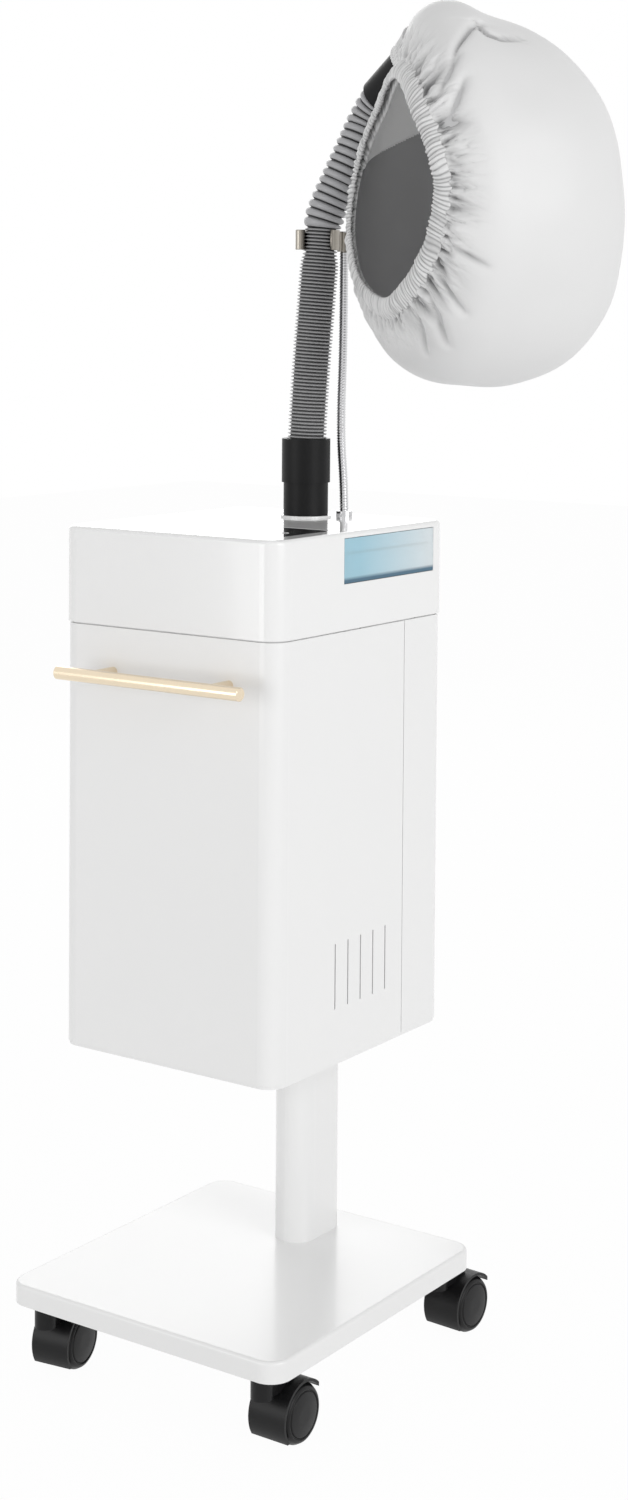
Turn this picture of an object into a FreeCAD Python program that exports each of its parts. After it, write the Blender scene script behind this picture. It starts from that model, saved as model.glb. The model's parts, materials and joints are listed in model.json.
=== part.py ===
import FreeCAD, Part
import math
import os
import re

import Sketcher
from FreeCAD import Placement, Rotation, Vector

# A hood hair dryer on a trolley: a wheeled base, a column, a cabinet with the blower, the heater
# and the water tank, and a fabric bonnet on a hose that a flexible metal arm holds.
# Millimetres. +Z is up, the floor is z = 0, the front faces -Y, the tank slides out towards +X.

os.makedirs("parts", exist_ok=True)
doc = FreeCAD.newDocument("HoodDryer")

# ---------------------------------------------------------------- driving dimensions

DIMENSIONS = [
    # the base and its casters
    ("base_width", 300, "base plate along X"),
    ("base_depth", 320, "base plate along Y"),
    ("base_top", 90.7, "height of the base plate's top"),
    ("base_tall", 18.7, "thickness of the base plate"),
    ("base_corner", 20, "corner radius of the base plate"),
    ("base_edge", 3, "rounding of the base plate's top edge"),
    ("pan_wall", 2.5, "sheet of the base pan"),
    ("cover_thick", 3, "steel cover under the base pan"),
    ("ballast_wide", 190, "ballast plate along X"),
    ("ballast_deep", 210, "ballast plate along Y"),
    ("ballast_tall", 10, "ballast plate thickness"),
    ("caster_x", 121, "caster pivots from the middle, along X"),
    ("caster_y", 140, "caster pivots from the middle, along Y"),
    ("caster_trail", 36, "from a pivot to its axle"),
    ("stem_radius", 5, "threaded stem of a caster"),
    ("run_gap", 0.05, "radial running clearance"),
    ("wheel_radius", 26, "caster wheel"),
    ("wheel_wide", 16, "one caster wheel along its axle"),
    ("wheel_gap", 3, "from the fork's middle to each wheel's inner face"),
    ("axle_radius", 4, "caster axle"),
    ("fender_gap", 1.5, "air between a wheel and its fender"),
    ("fender_thick", 2.5, "wall of the fender"),
    ("boss_radius", 10, "swivel boss of a fork"),
    ("boss_drop", 22.5, "from the base's underside to the boss's lower end"),
    # the column
    ("column_wide", 40, "column along X"),
    ("column_deep", 73, "column along Y"),
    ("column_wall", 2.5, "wall of the column tube"),
    ("column_y", 97.5, "column's middle along Y"),
    ("plug_tall", 25, "threaded plugs in the column's ends"),
    ("bolt_radius", 4, "column bolts"),
    ("bolt_pitch", 36, "distance between a pair of column bolts"),
    # the cabinet
    ("cabinet_width", 238, "cabinet along X"),
    ("cabinet_depth", 270, "cabinet along Y"),
    ("cabinet_y", 11.5, "cabinet's middle along Y"),
    ("cabinet_floor", 305, "height of the cabinet's underside"),
    ("cabinet_corner", 18, "corner radius of the cabinet"),
    ("cabinet_wall", 2, "sheet of the cabinet"),
    ("floor_thick", 2.6, "cabinet floor plate"),
    ("floor_inset", 1, "floor plate behind the cabinet's faces"),
    ("seam_gap", 0.3, "gap at the seams"),
    ("shell_top", 687.5, "top of the cabinet's wrap"),
    ("grille_count", 9, "slots of the rear grille"),
    ("grille_pitch", 12, "distance between the rear grille's slots"),
    ("grille_low", 420, "height of the lowest slot of the rear grille"),
    ("rear_seam", 76, "where the wrap meets the rear cover, along Y"),
    ("seam_show", 0.8, "open seam between the wrap and the rear cover"),
    ("vent_count", 5, "vent slots on each side"),
    ("vent_pitch", 20, "distance between vent slots"),
    ("vent_wide", 1.6, "vent slot"),
    ("vent_tall", 58, "vent slot"),
    ("vent_low", 355, "height of the slots' lower ends"),
    ("vent_first", -32, "first slot along Y"),
    # the head cover and what is in its top
    ("head_over", 1.4, "head cover outside the cabinet's faces"),
    ("head_low", 689, "lower edge of the head cover"),
    ("head_top", 775, "top of the head cover"),
    ("head_wall", 2.5, "wall of the head cover"),
    ("head_edge", 4, "rounding of the head cover's top edge"),
    ("panel_wide", 204, "control panel along X"),
    ("panel_deep", 98, "control panel along Y"),
    ("panel_x", -1, "control panel's middle along X"),
    ("panel_y", -63, "control panel's middle along Y"),
    ("panel_thick", 1.2, "control panel, black glass"),
    ("panel_corner", 5, "corner radius of the control panel"),
    # the handle
    ("handle_x", 5, "handle's middle along X"),
    ("handle_z", 648, "handle's height"),
    ("handle_long", 202, "handle bar"),
    ("handle_radius", 6, "handle bar"),
    ("handle_reach", 33, "from the cabinet's front to the bar's axis"),
    ("post_pitch", 128, "distance between the handle's posts"),
    ("post_radius", 4.5, "handle posts"),
    # the water tank
    ("tank_low", 730, "lower edge of the tank's window"),
    ("window_tall", 39.5, "tank window"),
    ("window_wide", 146, "tank window along Y"),
    ("window_thick", 3, "tank window along X"),
    ("tank_y", 49, "tank's middle along Y"),
    ("tank_deep", 84, "tank behind its window, along X"),
    ("tank_wide", 134, "tank along Y"),
    ("tank_tall", 27, "tank's height"),
    ("tank_wall", 2.2, "wall of the tank"),
    ("slide_gap", 0.5, "air round the tank and its window"),
    ("cap_radius", 17, "tank cap"),
    ("cap_tall", 8, "tank cap above the tank"),
    ("neck_radius", 12, "tank's filling hole"),
    ("spout_radius", 5, "tank's outlet spout"),
    ("spout_long", 9, "tank's outlet spout"),
    ("tray_thick", 2, "tray under the tank"),
    # the inside
    ("frame_half", 75, "outer face of each inner upright, along X"),
    ("frame_wall", 2, "sheet of the inner frame"),
    ("frame_front", -70, "front edge of the inner frame along Y"),
    ("frame_back", 130, "rear edge of the inner frame along Y"),
    ("shelf_z", 500, "underside of the blower's shelf"),
    ("scroll_radius", 58, "blower housing"),
    ("scroll_half", 31, "half the blower housing along X"),
    ("scroll_wall", 2, "wall of the blower housing"),
    ("impeller_radius", 44, "blower wheel"),
    ("impeller_half", 24, "half the blower wheel along X"),
    ("blade_count", 20, "blades of the blower wheel"),
    ("shaft_radius", 3, "motor shaft"),
    ("motor_radius", 26, "blower motor"),
    ("duct_half", 30, "half the duct along X"),
    ("duct_deep", 40, "duct along Y"),
    ("duct_top", 722, "top of the heater duct"),
    # the hose
    ("hose_x", 0, "outlet along X"),
    ("hose_y", 88, "outlet along Y"),
    ("hose_radius", 18, "hose over its ridges"),
    ("hose_wall", 2.4, "hose from ridge to bore"),
    ("spigot_radius", 15, "outlet spigot"),
    ("spigot_wall", 2, "outlet spigot"),
    ("spigot_top", 803, "top of the outlet spigot"),
    ("collar_radius", 24, "collar round the outlet"),
    ("collar_tall", 2, "collar round the outlet"),
    ("cuff_low_radius", 21, "lower part of the lower cuff"),
    ("cuff_step", 808, "step of the lower cuff"),
    ("cuff_radius", 22.8, "upper part of the lower cuff"),
    ("cuff_top", 849, "top of the lower cuff"),
    ("cuff_floor", 777.3, "bottom of the lower cuff"),
    ("seat_gap", 0.3, "air where a soft or curved face sits"),
    ("end_cuff_radius", 20.5, "cuff at the bonnet"),
    ("end_cuff_long", 64, "cuff at the bonnet"),
    # the arm
    ("port_thick", 6, "port ring round the cuff at the bonnet"),
    ("port_long", 20, "port ring along the cuff"),
    ("arm_radius", 4, "flexible arm"),
    ("arm_x", 24, "flexible arm's foot along X"),
    ("arm_y", 117, "flexible arm's foot along Y"),
    ("clip_gap", 0.9, "air between the clip and the hose"),
    ("clip_height", 19, "hose clip along the hose"),
    ("clip_thick", 1.5, "sheet of the hose clip"),
    ("socket_radius", 8, "arm's socket on the head cover"),
    ("socket_tall", 5, "arm's socket on the head cover"),
    # the bonnet, along its own axis from the opening to the back
    ("bonnet_x", 155.3, "middle of the opening"),
    ("bonnet_y", -3.6, "middle of the opening"),
    ("bonnet_z", 1076, "middle of the opening"),
    ("bonnet_turn", 31.8, "bonnet's axis from +Y towards +X, degrees"),
    ("bonnet_width", 264, "bonnet at its widest"),
    ("bonnet_height", 330, "bonnet at its highest"),
    ("bonnet_front", 57, "from the opening to the widest place"),
    ("bonnet_long", 200.5, "from the opening to the back"),
    ("bonnet_blunt", 0.44, "back end's size as a share of the widest place"),
    ("bonnet_sag", 22.5, "how far the back hangs below the opening"),
    ("bonnet_wall", 4, "padded wall of the bonnet"),
    ("bonnet_power", 2.5, "fullness of the bonnet's curve"),
    ("mouth_radius", 95, "opening of the bonnet"),
    ("sleeve_deep", 75, "middle of the sleeve's inner end behind the opening"),
    ("sleeve_side", -50, "middle of the sleeve's inner end from the bonnet's axis"),
    ("sleeve_high", 72, "middle of the sleeve's inner end above the opening's middle"),
    ("sleeve_radius", 60, "sleeve's inner end"),
    ("hem_radius", 4.5, "elastic hem round the opening"),
]

sheet = doc.addObject("Spreadsheet::Sheet", "Dims")
for row, (alias, value, meaning) in enumerate(DIMENSIONS, 1):
    sheet.set(f"A{row}", meaning)
    sheet.set(f"B{row}", str(value))
    sheet.setAlias(f"B{row}", alias)
doc.recompute()


def size(alias):
    """The value of one driving dimension."""
    return float(sheet.get(alias))


def linked(text):
    """An expression in which each alias is read from the sheet."""
    return re.sub(r"\b[a-z]+(?:_[a-z]+)+\b", r"Dims.\g<0>", text)


# ---------------------------------------------------------------- primitives and booleans

ALONG = {
    "x": Rotation(Vector(0, 1, 0), 90),
    "y": Rotation(Vector(1, 0, 0), -90),
    "z": Rotation(),
}


def bind(obj, **values):
    for name, text in values.items():
        obj.setExpression(name, linked(text))
    return obj


def put(obj, x="0", y="0", z="0", turn=Rotation()):
    """Places an object at bound coordinates."""
    obj.Placement = Placement(Vector(), turn)
    for axis, text in zip("xyz", (x, y, z)):
        obj.setExpression(f"Placement.Base.{axis}", linked(text))
    return obj


def box(name, wide, deep, tall, x="0", y="0", z="0"):
    """A box centred on x and y that stands on z."""
    obj = doc.addObject("Part::Box", name)
    bind(obj, Length=wide, Width=deep, Height=tall)
    return put(obj, f"{x} - ({wide}) / 2", f"{y} - ({deep}) / 2", z)


def cylinder(name, radius, tall, x="0", y="0", z="0", along="z"):
    """A cylinder that starts at x, y, z and runs along an axis."""
    obj = doc.addObject("Part::Cylinder", name)
    bind(obj, Radius=radius, Height=tall)
    return put(obj, x, y, z, ALONG[along])


def fuse(name, *pieces):
    obj = doc.addObject("Part::MultiFuse", name)
    obj.Shapes = list(pieces)
    return obj


def cut(name, base, *tools):
    obj = doc.addObject("Part::Cut", name)
    obj.Base = base
    obj.Tool = tools[0] if len(tools) == 1 else fuse(f"{name}_tools", *tools)
    return obj


def group(name, *pieces):
    """Several solids that make one node."""
    obj = doc.addObject("Part::Compound", name)
    obj.Links = list(pieces)
    return obj


def tube(name, radius, wall, tall, x="0", y="0", z="0", along="z"):
    """A tube that is open at both ends."""
    outer = cylinder(f"{name}_outer", radius, tall, x, y, z, along)
    start = {"x": x, "y": y, "z": z}
    start[along] = f"{start[along]} - 1"
    inner = cylinder(f"{name}_inner", f"{radius} - ({wall})", f"{tall} + 2", along=along, **start)
    return cut(name, outer, inner)


# ---------------------------------------------------------------- bodies with sketches


def new_body(name):
    return doc.addObject("PartDesign::Body", name)


def sketch_on(body, name, role, x="0", y="0", lift="0"):
    """A sketch on one of the body's own planes, moved by bound amounts."""
    sketch = body.newObject("Sketcher::SketchObject", name)
    plane = next(f for f in body.Origin.OriginFeatures if f.Role == role)
    sketch.AttachmentSupport = [(plane, "")]
    sketch.MapMode = "FlatFace"
    for axis, text in zip("xyz", (x, y, lift)):
        sketch.setExpression(f"AttachmentOffset.Base.{axis}", linked(text))
    return sketch


def add_rectangle(sketch, wide, deep):
    """A rectangle round the sketch's origin."""
    half = 10
    corners = [Vector(-half, -half), Vector(half, -half), Vector(half, half), Vector(-half, half)]
    for i in range(4):
        sketch.addGeometry(Part.LineSegment(corners[i], corners[(i + 1) % 4]), False)
    for i in range(4):
        sketch.addConstraint(Sketcher.Constraint("Coincident", i, 2, (i + 1) % 4, 1))
        kind = "Vertical" if i % 2 else "Horizontal"
        sketch.addConstraint(Sketcher.Constraint(kind, i))
    sketch.addConstraint(Sketcher.Constraint("Symmetric", 0, 1, 1, 2, -1, 1))
    across = sketch.addConstraint(Sketcher.Constraint("DistanceX", 0, 1, 0, 2, 2 * half))
    along = sketch.addConstraint(Sketcher.Constraint("DistanceY", 1, 1, 1, 2, 2 * half))
    sketch.setExpression(f"Constraints[{across}]", linked(wide))
    sketch.setExpression(f"Constraints[{along}]", linked(deep))
    return sketch


def add_circle(sketch, radius):
    sketch.addGeometry(Part.Circle(Vector(), Vector(0, 0, 1), 10), False)
    sketch.addConstraint(Sketcher.Constraint("Coincident", 0, 3, -1, 1))
    line = sketch.addConstraint(Sketcher.Constraint("Radius", 0, 10))
    sketch.setExpression(f"Constraints[{line}]", linked(radius))
    return sketch


def pad(body, sketch, length):
    feature = body.newObject("PartDesign::Pad", f"{sketch.Name}_pad")
    feature.Profile = sketch
    bind(feature, Length=length)
    sketch.Visibility = False
    return feature


def upright(edge):
    """True for a straight edge along Z."""
    low, high = edge.BoundBox.ZMin, edge.BoundBox.ZMax
    return high - low > 0.5 and abs(edge.Length - (high - low)) < 0.001


def round_edges(body, feature, radius, chosen):
    doc.recompute()
    names = [f"Edge{i}" for i, edge in enumerate(feature.Shape.Edges, 1) if chosen(edge)]
    fillet = body.newObject("PartDesign::Fillet", f"{feature.Name}_round")
    fillet.Base = (feature, names)
    bind(fillet, Radius=radius)
    return fillet


def rounded_block(name, wide, deep, tall, corner, x="0", y="0", z="0"):
    """A body: a block with round upright edges that stands on z."""
    body = new_body(name)
    sketch = add_rectangle(sketch_on(body, f"{name}_plan", "XY_Plane", x, y, z), wide, deep)
    round_edges(body, pad(body, sketch, tall), corner, upright)
    return body


def flat_at(height):
    """Chooses the edges that lie at one height."""
    return lambda edge: (
        abs(edge.BoundBox.ZMin - height) < 0.001 and abs(edge.BoundBox.ZMax - height) < 0.001
    )


# ---------------------------------------------------------------- routes


def routed(points, bend):
    """A wire of straight runs joined by arcs that are tangent to them."""
    points = [Vector(*p) for p in points]
    edges = []
    start = points[0]
    for before, corner, after in zip(points, points[1:], points[2:]):
        back = (before - corner).normalize()
        ahead = (after - corner).normalize()
        half = back.getAngle(ahead) / 2
        reach = bend / math.tan(half)
        first = corner + back * reach
        last = corner + ahead * reach
        middle_way = (back + ahead).normalize()
        middle = corner + middle_way * (bend / math.sin(half) - bend)
        if (first - start).Length > 0.001:
            edges.append(Part.LineSegment(start, first).toShape())
        edges.append(Part.Arc(first, middle, last).toShape())
        start = last
    edges.append(Part.LineSegment(start, points[-1]).toShape())
    return Part.Wire(edges)


def swept(wire, radius):
    """A round solid along a wire, checked against section times length."""
    first = wire.Edges[0]
    ring = Part.makeCircle(radius, first.valueAt(first.FirstParameter), first.tangentAt(0))
    solid = wire.makePipeShell([Part.Wire(ring)], True, True)
    wanted = math.pi * radius**2 * wire.Length
    if abs(solid.Volume / wanted - 1) > 0.01:
        raise ValueError("a swept tube has the wrong volume")
    return solid


def route_feature(name, points, bend, radius, bore=0):
    """A feature swept along a route, with a bore if one is given."""
    wire = routed(points, bend)
    shape = swept(wire, radius)
    if bore:
        shape = shape.cut(swept(wire, bore))
    feature = doc.addObject("Part::Feature", name)
    feature.Shape = shape
    return feature


# ---------------------------------------------------------------- base

UNDER = "base_top - base_tall"


def make_base():
    block = rounded_block(
        "pan_block", "base_width", "base_depth", "base_tall", "base_corner", z=UNDER
    )
    round_edges(block, block.Tip, "base_edge", flat_at(size("base_top")))
    inside = rounded_block(
        "pan_inside", "base_width - 2 * pan_wall", "base_depth - 2 * pan_wall",
        "base_tall - pan_wall + 1", "base_corner - pan_wall", z=f"{UNDER} - 1",
    )
    bores = [
        cylinder(
            f"pan_bore_{side + 2}", "bolt_radius + 0.2", "base_tall + 2", "0",
            f"column_y + {side} * bolt_pitch / 2", UNDER,
        )
        for side in (-1, 1)
    ]
    cut("base_pan", block, inside, *bores)

    fit = "2 * (pan_wall + seam_gap)"
    plate = rounded_block(
        "cover_plate", f"base_width - {fit}", f"base_depth - {fit}", "cover_thick",
        "base_corner - pan_wall - seam_gap", z=UNDER,
    )
    holes = [
        cylinder(f"cover_hole_{i}", "stem_radius + 0.3", "cover_thick + 2", x, y, f"{UNDER} - 1")
        for i, (x, y) in enumerate(pivots())
    ]
    cut("base_cover", plate, *holes)

    block = box(
        "ballast_block", "ballast_wide", "ballast_deep", "ballast_tall",
        z="base_top - pan_wall - ballast_tall",
    )
    bores = [
        cylinder(
            f"ballast_hole_{side + 2}", "bolt_radius * 2 + 1", "ballast_tall + 2", "0",
            f"column_y + {side} * bolt_pitch / 2", "base_top - pan_wall - ballast_tall - 1",
        )
        for side in (-1, 1)
    ]
    cut("base_ballast", block, *bores)


def pivots():
    """Where the four casters turn, as bound x and y."""
    return [(f"{sx} * caster_x", f"{sy} * caster_y") for sy in (-1, 1) for sx in (-1, 1)]


# ---------------------------------------------------------------- casters

CASTER_NAMES = ["front_left", "front_right", "rear_left", "rear_right"]
CASTER_TURNS = [8, 0, 15, -3]


def make_stems():
    """Threaded stems with their nuts inside the base."""
    stems = []
    for i, (x, y) in enumerate(pivots()):
        rod = cylinder(f"stem_rod_{i}", "stem_radius", "34", x, y, f"{UNDER} - 22")
        nut = cylinder(f"stem_nut_{i}", "stem_radius * 1.8", "6", x, y, f"{UNDER} + cover_thick")
        stems.append(fuse(f"stem_{i}", rod, nut))
    group("caster_stems", *stems)


def make_fork(name, turn, x, y):
    """The hooded fork, drawn round its pivot with the wheels trailing towards +Y."""
    half = "(wheel_gap + wheel_wide)"
    outer = "(wheel_radius + fender_gap + fender_thick)"
    lift = f"wheel_radius - ({UNDER})"
    rim = cylinder(
        f"{name}_rim", outer, f"2 * {half}", f"-{half}", "caster_trail", lift, along="x"
    )
    boss = cylinder(f"{name}_boss", "boss_radius", "boss_drop - 0.5", "0", "0", "-boss_drop")
    bridge = box(
        f"{name}_bridge", "boss_radius * 1.4", "caster_trail", "12", "0", "caster_trail / 2",
        "-boss_drop",
    )
    room = [
        cylinder(
            f"{name}_room_{side + 2}", "wheel_radius + fender_gap", f"{half}",
            "wheel_gap - 0.5" if side > 0 else f"-{half} - wheel_gap + 0.5",
            "caster_trail", lift, along="x",
        )
        for side in (-1, 1)
    ]
    low = box(
        f"{name}_low", f"2 * {half} + 2", f"2 * {outer} + 2", "wheel_radius * 2",
        "0", "caster_trail + 0.55 * wheel_radius", f"{lift} - 2 * wheel_radius - 1",
    )
    tail = box(
        f"{name}_tail", f"2 * {half} + 2", f"{outer} * 2", "wheel_radius * 2",
        "0", f"caster_trail + {outer} + 0.82 * wheel_radius", f"{lift} - wheel_radius + 2",
    )
    foot = box(
        f"{name}_foot", f"2 * {half} + 2", f"4 * {outer}", "wheel_radius", "0", "caster_trail",
        f"{lift} - 1.65 * wheel_radius",
    )
    shell = cut(f"{name}_shell", fuse(f"{name}_mass", rim, boss, bridge), *room, low, tail, foot)
    web = cylinder(
        f"{name}_web", "axle_radius + 4", "2 * wheel_gap - 1", "-wheel_gap + 0.5",
        "caster_trail", lift, along="x",
    )
    leg = box(
        f"{name}_leg", "2 * wheel_gap - 1", "wheel_radius * 0.9", f"5.5 - boss_drop - ({lift})",
        "0", "caster_trail - wheel_radius * 0.35", f"{lift} - 4",  # reaches 1.5 into the boss
    )
    axle = cylinder(
        f"{name}_axle", "axle_radius", f"2 * {half} - 2", f"1 - {half}", "caster_trail", lift,
        along="x",
    )
    bore = cylinder(f"{name}_bore", "stem_radius + run_gap", "30", "0", "0", "-26")
    fork = cut(f"caster_fork_{name}", fuse(f"{name}_whole", shell, web, leg, axle), bore)
    put(fork, x, y, UNDER, Rotation(Vector(0, 0, 1), turn))


def make_wheel(name, side, turn, x, y):
    """A wheel with a tread, a rim groove and a running bore."""
    lift = f"wheel_radius - ({UNDER})"
    start = "wheel_gap" if side > 0 else "-wheel_gap - wheel_wide"
    disc = cylinder(
        f"{name}_disc", "wheel_radius", "wheel_wide", start, "caster_trail", lift, along="x"
    )
    bore = cylinder(
        f"{name}_bore", "axle_radius + run_gap", "wheel_wide + 2", f"{start} - 1",
        "caster_trail", lift, along="x",
    )
    outside = "wheel_gap + wheel_wide - 1.2" if side > 0 else "-wheel_gap - wheel_wide - 1"
    ring = cylinder(
        f"{name}_ring", "wheel_radius - 4", "2.2", outside, "caster_trail", lift, along="x"
    )
    wheel = cut(f"caster_wheel_{name}", disc, bore, ring)
    put(wheel, x, y, UNDER, Rotation(Vector(0, 0, 1), turn))


def make_casters():
    make_stems()
    for name, turn, (x, y) in zip(CASTER_NAMES, CASTER_TURNS, pivots()):
        make_fork(name, turn, x, y)
        for side, word in ((-1, "inner"), (1, "outer")):
            make_wheel(f"{name}_{word}", side, turn, x, y)


# ---------------------------------------------------------------- column


def make_column():
    tall = "cabinet_floor - base_top"
    outside = rounded_block(
        "column_outside", "column_wide", "column_deep", tall, "column_wide / 2 - 0.01",
        "0", "column_y", "base_top",
    )
    inside = rounded_block(
        "column_inside", "column_wide - 2 * column_wall", "column_deep - 2 * column_wall",
        f"{tall} + 2", "column_wide / 2 - column_wall - 0.01", "0", "column_y", "base_top - 1",
    )
    cut("column", outside, inside)
    plugs = []
    for name, height in (("low", "base_top"), ("high", "cabinet_floor - plug_tall")):
        fit = "2 * (column_wall + 0.1)"
        block = rounded_block(
            f"plug_{name}", f"column_wide - {fit}", f"column_deep - {fit}", "plug_tall",
            "column_wide / 2 - column_wall - 0.2", "0", "column_y", height,
        )
        bores = [
            cylinder(
                f"plug_{name}_bore_{side + 2}", "bolt_radius + 0.1", "plug_tall + 2", "0",
                f"column_y + {side} * bolt_pitch / 2", f"{height} - 1",
            )
            for side in (-1, 1)
        ]
        plugs.append(cut(f"column_plug_{name}", block, *bores))
    group("column_plugs", *plugs)

    bolts = []
    for side in (-1, 1):
        y = f"column_y + {side} * bolt_pitch / 2"
        inside = "base_top - pan_wall"
        shank = cylinder(f"low_shank_{side + 2}", "bolt_radius", "pan_wall + 18", "0", y, inside)
        head = cylinder(f"low_head_{side + 2}", "bolt_radius * 1.7", "5", "0", y, f"{inside} - 5")
        bolts.append(fuse(f"low_bolt_{side + 2}", shank, head))
        plate = "cabinet_floor + floor_thick + 4"
        shank = cylinder(
            f"high_shank_{side + 2}", "bolt_radius", "floor_thick + 22", "0", y, f"{plate} - floor_thick - 22"
        )
        head = cylinder(f"high_head_{side + 2}", "bolt_radius * 1.7", "5", "0", y, plate)
        bolts.append(fuse(f"high_bolt_{side + 2}", shank, head))
    group("column_bolts", *bolts)

    washer = box(
        "top_plate_block", "column_wide + 30", "column_deep + 5", "4", "0", "column_y",
        "cabinet_floor + floor_thick",
    )
    holes = [
        cylinder(
            f"top_plate_hole_{side + 2}", "bolt_radius + 0.2", "6", "0",
            f"column_y + {side} * bolt_pitch / 2", "cabinet_floor + floor_thick - 1",
        )
        for side in (-1, 1)
    ]
    cut("column_top_plate", washer, *holes)


# ---------------------------------------------------------------- cabinet

SHELL_LOW = "cabinet_floor + floor_thick + seam_gap"
FRONT = "cabinet_y - cabinet_depth / 2"
REAR = "cabinet_y + cabinet_depth / 2"


def cabinet_ring(name):
    """The cabinet's four walls, before the wrap and the rear cover are cut apart."""
    tall = f"shell_top - ({SHELL_LOW})"
    outside = rounded_block(
        f"{name}_outside", "cabinet_width", "cabinet_depth", tall, "cabinet_corner",
        "0", "cabinet_y", SHELL_LOW,
    )
    inside = rounded_block(
        f"{name}_inside", "cabinet_width - 2 * cabinet_wall", "cabinet_depth - 2 * cabinet_wall",
        f"{tall} + 2", "cabinet_corner - cabinet_wall", "0", "cabinet_y", f"{SHELL_LOW} - 1",
    )
    return cut(name, outside, inside)


def make_wrap():
    behind = box(
        "wrap_behind", "cabinet_width + 2", "cabinet_depth", "shell_top", "0",
        "rear_seam + cabinet_depth / 2",
    )
    slots = [
        box(
            f"vent_{i}", "cabinet_width + 2", "vent_wide", "vent_tall", "0",
            f"vent_first + {i} * vent_pitch", "vent_low",
        )
        for i in range(int(size("vent_count")))
    ]
    holes = [
        cylinder(
            f"wrap_hole_{side + 2}", "2.7", "cabinet_wall + 4", f"handle_x + {side} * post_pitch / 2",
            f"{FRONT} - 2", "handle_z", along="y",
        )
        for side in (-1, 1)
    ]
    cut("cabinet_shell", cabinet_ring("wrap_ring"), behind, *slots, *holes)


def make_rear_cover():
    ahead = box(
        "rear_ahead", "cabinet_width + 2", "cabinet_depth", "shell_top", "0",
        "rear_seam + seam_show - cabinet_depth / 2",
    )
    slots = [
        box(f"rear_slot_{i}", "110", "10", "3", "0", REAR, f"grille_low + {i} * grille_pitch")
        for i in range(int(size("grille_count")))
    ]
    inlet = box("inlet_gap", "28.6", "20", "20.6", "-50", REAR, "334.7")
    rocker = box("rocker_gap", "22.6", "20", "16.6", "50", REAR, "336.7")
    cut("rear_cover", cabinet_ring("rear_ring"), ahead, inlet, rocker, *slots)


def make_floor():
    plate = rounded_block(
        "floor_plate", "cabinet_width - 2 * floor_inset", "cabinet_depth - 2 * floor_inset",
        "floor_thick", "cabinet_corner - floor_inset", "0", "cabinet_y", "cabinet_floor",
    )
    holes = [
        cylinder(
            f"floor_hole_{side + 2}", "bolt_radius + 0.2", "floor_thick + 2", "0",
            f"column_y + {side} * bolt_pitch / 2", "cabinet_floor - 1",
        )
        for side in (-1, 1)
    ]
    cut("cabinet_floor_plate", plate, *holes)
    # small angle clips join the floor to the wrap and the rear cover, and the head to both
    clips = []
    inside = "cabinet_width / 2 - cabinet_wall"
    for side in (-1, 1):
        for spot, y in enumerate(("rear_seam - 60", "rear_seam + 30")):
            clips.append(
                box(
                    f"floor_clip_{side + 2}_{spot}", "12", "20", "14", f"{side} * ({inside} - 6)", y,
                    "cabinet_floor + floor_thick",
                )
            )
            clips.append(
                box(
                    f"head_clip_{side + 2}_{spot}", "8", "18", "26", f"{side} * ({inside} - 4)", y,
                    "shell_top - 18",
                )
            )
    group("cabinet_clips", *clips)


# ---------------------------------------------------------------- head cover

HEAD_WIDE = "cabinet_width + 2 * head_over"
HEAD_DEEP = "cabinet_depth + 2 * head_over"


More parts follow.
